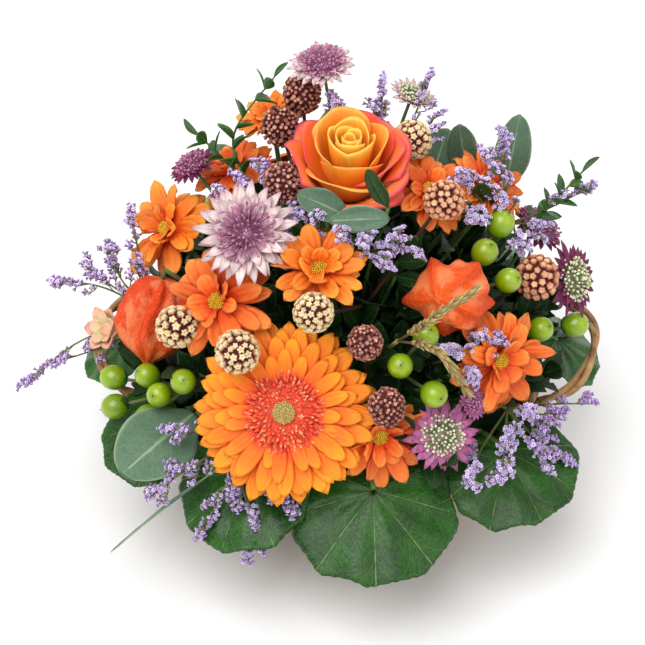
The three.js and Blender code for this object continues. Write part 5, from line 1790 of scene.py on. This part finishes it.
@dataclass
class PaleBud:
    """The loosely opened, pale bud inside the left handle."""

    at: tuple = (-122, -23, 107)
    axis: tuple = (-0.6, -0.5, 0.6)

    def build(self) -> None:
        """Builds its lobes, round its heart, and its stem."""
        pose = facing(self.at, self.axis)
        piece = Piece("pale_bud_lobes", "pale_bud", ("pale_bud",), 81)
        piece.put(ball([(0, -6), (4, -5), (5, 0), (0, 6)], 12), Finish.BUD_LOBE, pose)
        lobe = Petal(13, 4.6, base=0.4, widest=0.55, blunt=0.6, lift=0.95, curl=0.35, cup=0.5, ruffle=0.3,
                     rows=9, columns=8)
        for row, (count, seat, size) in enumerate([(6, 3.2, 1.0), (5, 1.6, 0.85)]):
            for i in range(count):
                turn = (i + 0.5 * row) / count * TAU
                place = pose @ turned("Z", turn) @ shifted(0, seat, -4 + 2 * row) @ scaled(size)
                piece.put(lobe.shape(piece.rng), Finish.BUD_LOBE, place)
        Stem(piece, [applied(pose, [0, 0, -4])], 1.4).build()
        piece.build()


# ---- leaves


@dataclass
class CollarLeaf:
    """A big round leaf that leans out over the rim, with a notch where its stalk joins."""

    node: str
    hub: tuple
    way: tuple
    radius: float
    tilt: float = 0.0  # degrees, as the solid lies
    roll: float = 0.0
    lobes: int = 11
    droop: float = 0.12

    def pose(self) -> Vec:
        """Tilts and rolls the leaf's frame.

        Returns:
            The frame, with Y towards its tip and Z out of its upper face.
        """
        along = unit(self.way)
        side = unit([along[1], -along[0], 0])
        along = np.array(Matrix.Rotation(math.radians(self.tilt), 3, Vector(side)) @ Vector(along))
        side = np.array(Matrix.Rotation(math.radians(self.roll), 3, Vector(along)) @ Vector(side))
        return laid(self.hub, along, side)

    def blade(self, rng: Rng) -> Shape:
        """Makes the blade as a polar sheet about its stalk.

        Args:
            rng: what its differences are drawn from.

        Returns:
            The blade.
        """
        rings, spokes = 34, 132
        share = np.linspace(0.02, 1, rings + 1)[:, None]
        u = np.linspace(-1, 1, spokes + 1)[None, :]
        turn = u * math.radians(171)
        lobe = 0.3 + 0.7 * ((1 + np.cos(turn)) / 2) ** 0.35
        phase = rng.uniform(0, TAU)
        point = 1 - np.abs(np.sin(self.lobes / 2 * turn + 0.5 * np.sin(2 * turn + phase)))
        wander = 0.02 * np.sin(3 * turn + phase) + 0.01 * np.sin(7 * turn + 2 * phase)
        scallop = 1 + share**6 * (0.05 * point - 0.025 + wander)
        tooth = 1 + 0.007 * share**8 * np.cos(self.lobes * 5 * turn)
        reach = share * self.radius * lobe * scallop * tooth
        height = -self.droop * share**2 * self.radius
        height = height + 0.06 * self.radius * share**2 * np.cos(3 * turn + 0.6)
        height = height + 0.7 * share**1.2 * np.cos(self.lobes * turn + math.pi)
        height = height + 0.9 * share**4 * np.cos(5 * turn + phase)
        height = height + 0.5 * share * np.sin(9 * share + 6 * turn)
        across, along = np.meshgrid(u, share)
        return sheet(around(reach, math.pi / 2 - turn, height), 0.9, along, across)

    def build(self) -> None:
        """Builds the blade and its stalk."""
        piece = Piece(self.node + "_blade", "collar_leaf", (self.node,), 91)
        pose = self.pose()
        piece.put(self.blade(piece.rng), Finish.COLLAR_LEAF, pose)
        hub = np.array(self.hub, float)
        knee = unit(hub * [1, 1, 0]) * (RIM_RADIUS - 8) + [0, 0, BASKET_HEIGHT + 8]
        end = hub - unit(self.way) * 0.02 * self.radius
        Stem(piece, [knee], 1.6).build()
        piece.put(tube(curve([knee, (knee + end) / 2 + [0, 0, 1], end], 8), 1.6, 8), Finish.GREEN_STEM)
        piece.build()


@dataclass
class GumLeaf:
    """A waxed oval leaf from its stalk to its tip."""

    start: tuple
    tip: tuple
    face: tuple
    half_width: float
    lift: float = 0.12
    finish: Finish = Finish.GUM_LEAF

    def foot(self) -> Vec:
        """Where its stem ends, at its stalk."""
        return np.array(self.start, float)

    def build(self, piece: Piece) -> None:
        """Adds the leaf to a piece.

        Args:
            piece: the piece that it belongs to.
        """
        along = np.subtract(self.tip, self.start).astype(float)
        length = np.linalg.norm(along)
        pose = laid(self.start, unit(along), unit(np.cross(unit(along), self.face)))
        form = Petal(length, self.half_width, base=0.06, widest=0.5, blunt=0.5, lift=self.lift, curl=0.25,
                     cup=0.12, ribs=0.3, ruffle=0.6, waves=1.5, rows=22, columns=14, thickness=0.8)
        piece.put(form.shape(piece.rng), self.finish, pose)


@dataclass
class GumStem(Cluster):
    """Gum leaves on one stem."""

    leaves: int = 0
    ending: str = "_blades"
    slot: str = "gum_leaf"
    seed: int = 95
    finish: Finish = Finish.OLIVE_STEM


# ---- sprays


@dataclass
class Statice:
    """A statice spray: wiry branches that end in one-sided rows of papery funnels."""

    node: str
    forks: list[tuple]
    tips: list[tuple]
    florets: int = 30  # on 20 mm of a branch's end
    twig_shares: tuple = (0.4, 0.54, 0.67, 0.78, 0.88)  # where side twigs leave a branch

    def funnel(self) -> Shape:
        """Makes one funnel, 4 mm long, on its green base.

        Returns:
            The funnel, with a five-pointed mouth.
        """
        sides = np.arange(10)
        point = np.where(sides % 2 == 0, 1.0, 0.6)
        radius, height, lobed = np.array([(0.34, 0.2, 0), (0.48, 1.2, 0), (0.5, 2.2, 0), (0.95, 3.1, 0.4),
                                          (1.45, 3.7, 1), (0.6, 3.3, 0.6)]).T[:, :, None]
        rings = around(radius * (1 - lobed + lobed * point), sides / len(sides) * TAU, height)
        return ringed(rings, [0, 0, 0], [0, 0, 2.9])

    def build(self) -> None:
        """Builds the branches and sets the funnels along them."""
        piece = Piece(self.node + "_spray", "statice", (self.node,), 101)
        rng = piece.rng
        Stem(piece, self.forks, 1.2, finish=Finish.OLIVE_STEM, leaves=3).build()
        poses = []
        for tip in np.asarray(self.tips, float):
            fork = min(np.asarray(self.forks, float), key=lambda place: np.linalg.norm(place - tip))
            reach = np.linalg.norm(tip - fork)
            bow = rng.normal(size=3) * 0.04 * reach
            path = curve([fork, (fork + tip) / 2 + bow, tip], 14)
            piece.put(tube(path, np.linspace(0.7, 0.35, 14), 5), Finish.OLIVE_STEM)
            self.spike(path, min(14.0, 0.5 * reach), rng, poses, 1.0)
            for share in self.twig_shares:
                at = path[int(share * 13)]
                ahead = unit(tip - fork)
                lean = ahead * 0.8 + 0.8 * unit(rng.normal(size=3))
                length = rng.uniform(7, 11)
                twig = curve([at, at + unit(lean) * length / 2, at + unit(lean + 0.4 * ahead) * length], 6)
                piece.put(tube(twig, 0.35, 4), Finish.OLIVE_STEM)
                self.spike(twig, 6.5, rng, poses, 0.95)
        piece.put(self.funnel(), Finish.STATICE, poses)
        piece.build()

    def spike(self, path: Vec, span: float, rng: Rng, poses: list, size: float) -> None:
        """Sets funnels along the end of a branch.

        Args:
            path: the branch.
            span: how much of its end bears funnels.
            rng: what their differences are drawn from.
            poses: where each funnel's frame is added.
            size: the funnels' size as a share.
        """
        lengths = np.concatenate([[0], np.cumsum(np.linalg.norm(np.diff(path, axis=0), axis=1))])
        way = unit(path[-1] - path[-3])
        count = max(4, int(self.florets * span / 20))
        for i in range(count):
            reach = lengths[-1] - 1.0 - span * i / count
            at = np.array([np.interp(reach, lengths, path[:, k]) for k in range(3)])
            turn = (i % 3) * 1.1 + rng.normal(0, 0.5)
            lean = turned("Z", turn) @ turned("Y", 0.3 + 0.5 * min(1.0, i / 4) + 0.15 * rng.normal())
            grow = size * rng.uniform(0.75, 1.1) * (0.75 + 0.25 * min(1.0, i / 3))
            poses.append(facing(at, way) @ lean @ scaled(grow))


@dataclass
class Sprig:
    """A thin shoot with leaflets in pairs."""

    path: list[tuple]
    pairs: int
    length: float
    half_width: float

    def foot(self) -> Vec:
        """Where its stem ends, at its start."""
        return np.array(self.path[0], float)

    def build(self, piece: Piece) -> None:
        """Adds the shoot to a piece.

        Args:
            piece: the piece that it belongs to.
        """
        rng = piece.rng
        path = curve(self.path, 24)
        piece.put(tube(path, np.linspace(0.95, 0.45, 24), 6), Finish.GREEN_STEM)
        leaflet = Petal(self.length, self.half_width, base=0.1, widest=0.5, blunt=0.7, cup=0.25, curl=0.3,
                        ribs=0.1, rows=8, columns=6, thickness=0.6)
        count = self.pairs * 2 + 1
        for i in range(count):
            share = min((i + 2) / (count + 1.2), 0.98)
            k = int(share * 23)
            way = path[min(k + 1, 23)] - path[k - 1]
            splay = 0.0 if i == count - 1 else 0.9
            for spin in (0.0,) if i == count - 1 else (0.0, 0.5):
                turn = i * (math.pi + 0.35) + spin * math.pi * 0.9
                pose = facing(path[k], way, turn) @ turned("X", math.pi / 2 - splay)
                size = rng.uniform(0.8, 1.05)
                piece.put(leaflet.shape(rng), Finish.SPRIG_LEAF, pose @ scaled(size))


@dataclass
class SprigStem(Cluster):
    """Leafy shoots on one stem."""

    leaves: int = 3
    ending: str = "_shoots"
    seed: int = 111
    radius: float = 1.2


@dataclass
class Filler:
    """Short leafy twigs stuck all over the foam, which hide it and darken the gaps."""

    twigs: int = 160
    fingers: tuple = (104.0, -22.0, 12.0, 72.0, 99.0)  # |x|, y and z of the room kept for fingers
    bloom_room: float = 48.0  # radius kept clear over the gerbera
    collar_room: tuple = (100.0, -52.0, 96.0)  # reach, y and z of the room kept for the collar leaves

    def is_clear(self, at: Vec) -> bool:
        """Whether a leaf's end keeps off the gerbera, the collar leaves and the room for the fingers.

        Args:
            at: the leaf's end.

        Returns:
            True where it keeps off them all.
        """
        side, front, back, low, high = self.fingers
        at_fingers = abs(at[0]) > side and front < at[1] < back and low < at[2] < high
        apart = at - GERBERA_AT
        over = apart @ unit(GERBERA_AXIS)
        at_gerbera = over > -10 and apart @ apart - over**2 < self.bloom_room**2
        reach, front, top = self.collar_room
        at_collar = math.hypot(at[0], at[1]) > reach and at[1] < front and at[2] < top
        return not (at_fingers or at_gerbera or at_collar)

    def build(self) -> None:
        """Builds the twigs and their leaves."""
        piece = Piece("filler_twigs", "green_stem", (), 131)
        rng = piece.rng
        leaf = Petal(24, 6.8, base=0.12, widest=0.45, blunt=0.75, lift=0.15, curl=0.5, cup=0.15, ribs=0.2,
                     ruffle=0.5, rows=9, columns=6)
        for i in range(self.twigs):
            rise = 1 - (i + 0.5) / self.twigs * 0.95
            way = around(math.sqrt(1 - rise * rise), i * GOLDEN_ANGLE, rise)
            start = FOAM_HEART + way * (foam_surface(way) - 4)
            lean = unit(way + 0.3 * rng.normal(size=3) + [0, 0, 0.3])
            end = start + lean * rng.uniform(14, 30) * (1 + 0.3 * rise)
            if not (self.is_clear(end + lean * 22) and self.is_clear(end)):
                continue
            path = curve([start, (start + end) / 2 + rng.normal(size=3), end], 6)
            piece.put(tube(path, 0.9, 5), Finish.OLIVE_STEM)
            for k in range(5):
                at = start + (end - start) * (0.4 + 0.15 * k)
                splay = 0.95 - 0.16 * k
                pose = facing(at, lean, k * GOLDEN_ANGLE + i) @ turned("X", math.pi / 2 - splay)
                size = rng.uniform(0.75, 1.1)
                piece.put(leaf.shape(rng), Finish.FILLER_LEAF, pose @ scaled(size))
        piece.build()


@dataclass
class SeedGrass:
    """Drooping awns that swell into rows of dry seeds."""

    paths: list[list[tuple]]
    seeds: int = 62  # on each awn, in two rows
    bare: int = 8  # of the awn's 40 steps, before the first seed

    def build(self) -> None:
        """Builds the awns, their seeds and their stem."""
        piece = Piece("seed_grass_awns", "seed_grass", ("seed_grass",), 121)
        rng = piece.rng
        seed = ball([(0, 0), (0.9, 0.9), (1.35, 2.4), (0.95, 4.6), (0.3, 6.6), (0, 8.0)], 6)
        poses = []
        for points in self.paths:
            path = curve(points, 40)
            piece.put(tube(path, np.linspace(0.7, 0.3, 40), 5), Finish.STRAW)
            for i in range(self.seeds):
                k = self.bare + i // 2
                way = path[k + 1] - path[k]
                lean = turned("Z", i * 2.4) @ turned("Y", 0.32 + 0.1 * rng.normal())
                poses.append(facing(path[k], way) @ lean @ scaled(rng.uniform(0.75, 1.1)))
        piece.put(seed, Finish.STRAW, poses)
        Stem(piece, [self.paths[0][0]], 1.1, finish=Finish.STRAW).build()
        piece.build()


# ---- the arrangement

MUM_LEFT = [Mum((-92, 14, 143), (-0.55, -0.35, 0.75), 27, Finish.MUM_AMBER),
            Mum((-62, -56, 155), (-0.35, -0.62, 0.7), 28)]
MUM_RIGHT = [Mum((15.5, -95.5, 104), (0.15, -0.9, 0.25), 30, Finish.MUM_ORANGE, 0.35, squeezed=0.5),
             Mum((74, -64, 124), (0.5, -0.7, 0.4), 28, Finish.MUM_ORANGE, 0.5)]

ARRANGEMENT = [
    Basket(),
    Handle(-1),
    Handle(1),
    Filling(),
    Filler(),
    Gerbera(),
    Rose([GumLeaf((2, -34, 188), (-24, -32, 202), (0, -0.6, 0.8), 7.5),
          GumLeaf((-10, -38, 190), (20, -40, 193), (0, -0.7, 0.7), 6.5),
          *(GumLeaf(*form, finish=Finish.ROSE_LEAF) for form in (
              ((19, -38, 198), (9, -39, 222), (-0.3, -0.9, 0.2), 4.6),
              ((70, 0, 170), (66, -10, 192), (-0.3, -0.9, 0.4), 6.0),
              ((25, -32, 160), (38, -42, 168), (0, -0.7, 0.7), 4.2),
              ((24, -34, 152), (39, -46, 158), (0, -0.7, 0.7), 4.2),
              ((24, -30, 168), (34, -38, 180), (0.2, -0.8, 0.6), 4.0)))]),
    Lantern("lantern_right", (49, -55, 158), (-0.35, -0.72, 0.5), 20, 38),
    Lantern("lantern_left", (-97, -30, 118), (-0.2, -0.45, -0.85), 19, 46),
    MumStem("mum_stem_left", MUM_LEFT),
    MumStem("mum_stem_right", MUM_RIGHT),
    MumSpray("mum_upper_left_petals", MUM_LEFT[:1], own_stem=False),
    MumSpray("mum_left_petals", MUM_LEFT[1:], own_stem=False),
    MumSpray("mum_front_petals", MUM_RIGHT[:1], own_stem=False),
    MumSpray("mum_right_petals", MUM_RIGHT[1:], own_stem=False),
    MumSpray("mum_centre", [Mum((-14, -55, 174), (0, -0.42, 0.9), 24, Finish.MUM_AMBER, 0.5, 0.3)]),
    MumSpray("mum_spray_top_left", [
        Mum((-58, 30, 168), (-0.4, -0.1, 0.9), 22),
        Mum((-38, 46, 190), (-0.3, 0.1, 0.95), 19, Finish.MUM_AMBER)]),
    MumSpray("mum_spray_top_right", [
        Mum((40, -8, 184), (0.4, -0.25, 0.88), 24), Mum((71, 10, 173), (0.55, 0, 0.83), 23)]),
    MumSpray("mum_spray_back", [
        Mum((-48, 82, 128), (-0.35, 0.72, 0.6), 25),
        Mum((28, 84, 140), (0.2, 0.7, 0.68), 25, Finish.MUM_AMBER)], leaves=10),
    MasterwortStem("masterwort_left", [
        Masterwort((-48, -46, 189), (-0.1, -0.68, 0.72), 25),
        Masterwort((-78, 24, 176), (-0.4, 0, 0.9), 13, Finish.BRACT_WINE, dome=0.4)]),
    MasterwortStem("masterwort_front", [
        Masterwort((45.5, -96, 104), (0.15, -0.78, 0.6), 18.5, Finish.BRACT_MAGENTA, Finish.PIN_PALE),
        Masterwort((60, -84, 114), (0.5, -0.5, 0.7), 9, Finish.BRACT_MAGENTA, Finish.PIN, 0.5, 0.35)]),
    MasterwortStem("masterwort_top", [
        Masterwort((-12, 34, 230), (-0.1, -0.1, 1), 17, dome=0.42),
        Masterwort((32, 32, 212), (0.35, 0, 0.93), 13, Finish.BRACT_PALE, Finish.PIN_PALE, 0.35, 0.35)]),
    MasterwortStem("masterwort_right", [
        Masterwort((114, -14, 133), (0.72, -0.45, 0.52), 19, Finish.BRACT_WINE, Finish.PIN_PALE, dome=0.3),
        Masterwort((99, 14, 144), (0.5, -0.1, 0.85), 15, Finish.BRACT_WINE, dome=0.5)]),
    KnobStem("button_heads_left", [
        KnobHead((-82, -62, 144), 9.0, knobs=62), KnobHead((-52, -85, 149), 9.6)]),
    KnobStem("button_heads_centre", [
        KnobHead((-16, -81, 170), 8.6), KnobHead((46, -27, 194), 9.0, rosy=True)]),
    KnobStem("button_heads_right", [KnobHead((95, -24, 143), 10, rosy=True, knobs=76)]),
    KnobStem("button_heads_back", [
        KnobHead((32, 12, 201), 9), KnobHead((-8, 92, 146), 10), KnobHead((62, 62, 142), 9.5, rosy=True)]),
    KnobStem("cone_heads_top", [
        KnobHead((-31, -22, 200), 8.6, cone=True), KnobHead((-33, 22, 202), 8.6, cone=True),
        KnobHead((-22, 34, 213), 8.6, cone=True)], slot="cone_head"),
    KnobStem("cone_heads_front", [
        KnobHead((18.5, -97, 124), 8.0, cone=True, axis=(-0.1, -0.25, 1)),
        KnobHead((8, -81, 151), 7.8, cone=True)], slot="cone_head"),
    BerryBunch("berries_left", [(-119, -41, 90), (-118, -53, 81), (-100, -52, 102), (-93, -67, 103),
        (-100, -66, 86), (-80, -72, 117)]),
    BerryBunch("berries_upper_right", [(76, -14, 169), (67, -31, 165), (79, -37, 152)]),
    BerryBunch("berries_centre", [(37, -75, 150), (25, -82, 137), (41, -92, 128)]),
    BerryBunch("berries_right", [(117, -25, 112), (98, -34, 117)]),
    BerryBunch("berries_back", [(-88, 52, 122), (-100, 38, 112), (-76, 64, 116)]),
    PaleBud(),
    CollarLeaf("collar_leaf_front", (13, -105, 74), (0.02, -0.93, -0.38), 47, tilt=-6),
    CollarLeaf("collar_leaf_right", (80, -80, 76), (0.42, -0.83, -0.36), 40, roll=7),
    CollarLeaf("collar_leaf_front_left", (-50, -94, 75), (-0.3, -0.87, -0.42), 40, roll=7),
    CollarLeaf("collar_leaf_left", (-97, -62, 75), (-0.78, -0.5, -0.38), 32, roll=-7),
    CollarLeaf("collar_leaf_far_left", (-117, 14, 68), (-0.86, 0.1, -0.5), 32),
    CollarLeaf("collar_leaf_far_right", (115, 10, 70), (0.86, 0, -0.5), 31),
    CollarLeaf("collar_leaf_back_left", (-58, 92, 75), (-0.5, 0.8, -0.42), 44),
    CollarLeaf("collar_leaf_back", (12, 106, 75), (0.05, 0.9, -0.42), 45),
    CollarLeaf("collar_leaf_back_right", (76, 80, 75), (0.6, 0.66, -0.42), 42),
    GumStem("gum_leaf_front_left", [
        GumLeaf((-76, -64, 88), (-112, -103, 76), (-0.1, -0.6, 0.8), 19, 0.28),
        GumLeaf((-60, -92, 80), (-129, -117, 48), (-0.3, -0.4, 0.8), 0.65, -0.16)]),
    GumStem("gum_leaves_top_right", [
        GumLeaf((82, 28, 156), (88, 42, 196), (-0.1, -0.95, 0.2), 9.5),
        GumLeaf((64, 34, 158), (58, 40, 192), (-0.3, -0.9, 0.3), 9)]),
    GumStem("gum_leaves_back", [
        GumLeaf((-60, 52, 136), (-68, 68, 158), (-0.3, 0.8, 0.5), 11),
        GumLeaf((-4, 62, 148), (-4, 84, 172), (0, 0.8, 0.6), 12),
        GumLeaf((45, 48, 148), (54, 64, 171), (0.3, 0.8, 0.5), 11)]),
    Statice("statice_left", [(-98, -10, 106)], [(-172, -28, 70), (-158, -22, 80), (-128, -10, 100),
        (-153, -4, 124), (-136, 2, 130), (-123, 8, 140), (-110, 16, 158), (-106, -8, 144)]),
    Statice("statice_front_left", [(-54, -88, 92)], [(-97, -112, 76), (-90, -86, 100), (-86, -100, 84),
        (-74, -122, 58), (-48, -132, 52), (-58, -112, 76), (-24, -118, 72), (-44, -120, 64)]),
    Statice("statice_top", [(4, -38, 170)], [(-6, -46, 190), (10, -50, 188), (24, -47, 186), (-24, -34, 194),
        (-56, -16, 203), (-46, -12, 206), (-64, -22, 198), (34, -46, 178), (18, -56, 178)], florets=36),
    Statice("statice_crown", [(22, 18, 182)], [(-9, 26, 218), (14, 26, 214), (19, 34, 223), (41, 27, 228),
        (48, 20, 205)]),
    Statice("statice_upper_right", [(84, 0, 158)], [(78, 20, 202), (66, 8, 197), (54, -6, 196),
        (72, -9, 188), (124, 6, 179), (96, -8, 162), (86, -18, 158), (58, -26, 182)], florets=36),
    Statice("statice_right", [(60, -62, 124), (80, -70, 96)], [(60, -70, 146), (72, -66, 138),
        (46, -80, 146), (60, -84, 130), (131, -40, 70), (112, -56, 80), (88, -80, 104), (100, -74, 84),
        (80, -94, 93), (112, -84, 70), (99, -97, 79), (74, -112, 88), (57, -112, 86)], florets=38),
    Statice("statice_back", [(-20, 84, 108)], [(-52, 108, 92), (-28, 112, 108), (6, 114, 106), (34, 114, 92),
        (-76, 96, 100), (60, 100, 98)]),
    SprigStem("leafy_sprig_left", [
        Sprig([(-46, 2, 176), (-56, 16, 200), (-34, 34, 226)], 4, 13, 3.4),
        Sprig([(-46, 2, 176), (-62, 10, 192), (-74, 16, 202)], 2, 12, 3.2)]),
    SprigStem("leafy_sprig_right", [Sprig([(92, 6, 150), (102, 4, 166), (118, 8, 186)], 4, 12, 3.2)]),
    SeedGrass([[(24, -72, 144), (36, -90, 172), (56, -93, 194)], [(24, -72, 144), (40, -98, 162),
        (56, -101, 138)]]),
]


# ---- camera, light and floor


@dataclass
class Studio:
    """A white sweep, soft light from all round, and a camera that looks down on the basket."""

    elevation: float = 42.0  # degrees
    distance: float = 0.9
    target: tuple = (-0.012, 0.0, 0.091)
    frame_mm: float = 0.53 * 645  # what the frame spans at the target
    sensor: float = 36.0
    floor_reach: float = 6.0
    surrounding: float = 0.62  # how bright the white surrounding is

    def build(self) -> None:
        """Builds the camera, the lights and the floor."""
        bpy.context.scene.view_settings.view_transform = "Standard"
        self.camera()
        self.floor()
        self.lights()

    def camera(self) -> None:
        """Aims the camera from the front, above the basket."""
        lift = math.radians(self.elevation)
        target = Vector(self.target)
        place = target + Vector((0, -math.cos(lift), math.sin(lift))) * self.distance
        data = bpy.data.cameras.new("camera")
        data.sensor_width = self.sensor
        data.lens = self.sensor * self.distance / (self.frame_mm * MM)
        data.clip_start = 0.05
        data.clip_end = 20
        bpy.context.scene.camera = self.aimed(data, place, target)

    def aimed(self, data: bpy.types.ID, place: Vector, target: Vector) -> bpy.types.Object:
        """Hangs a camera or a light and turns it to what it looks at.

        Args:
            data: the camera or the light.
            place: where it hangs.
            target: what it looks at.

        Returns:
            The object.
        """
        held = bpy.data.objects.new(data.name, data)
        turn = (target - place).to_track_quat("-Z", "Y").to_matrix().to_4x4()
        held.matrix_world = Matrix.Translation(place) @ turn
        bpy.context.scene.collection.objects.link(held)
        return held

    def floor(self) -> None:
        """Lays the white floor."""
        mesh = bpy.data.meshes.new("floor")
        corners = [(x * self.floor_reach, y * self.floor_reach, 0) for x, y in
                   ((-1, -1), (1, -1), (1, 1), (-1, 1))]
        mesh.from_pydata(corners, [], [(0, 1, 2, 3)])
        mesh.materials.append(dressed(Finish.FLOOR_WHITE))
        floor = bpy.data.objects.new("floor", mesh)
        bpy.context.scene.collection.objects.link(floor)

    def lights(self) -> None:
        """Hangs a large key light, two fills and a pale surrounding."""
        for name, place, size, power in (
            ("key", (-0.6, -0.7, 1.9), 1.6, 33.0),
            ("fill", (1.4, -1.2, 1.2), 1.6, 8.0),
            ("rim", (0.5, 1.5, 1.6), 1.2, 12.0),
        ):
            data = bpy.data.lights.new(name, "AREA")
            data.size = size
            data.energy = power
            self.aimed(data, Vector(place), Vector((0, 0, 0.1)))
        world = bpy.data.worlds.new("studio")
        world.use_nodes = True
        inputs = world.node_tree.nodes["Background"].inputs
        inputs["Color"].default_value = (1, 1, 1, 1)
        inputs["Strength"].default_value = self.surrounding
        bpy.context.scene.world = world


def main() -> None:
    """Builds the arrangement and the studio."""
    logging.basicConfig(level=logging.INFO, format="%(message)s")
    for part in ARRANGEMENT:
        part.build()
    Studio().build()
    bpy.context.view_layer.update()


if __name__ == "__main__":
    main()
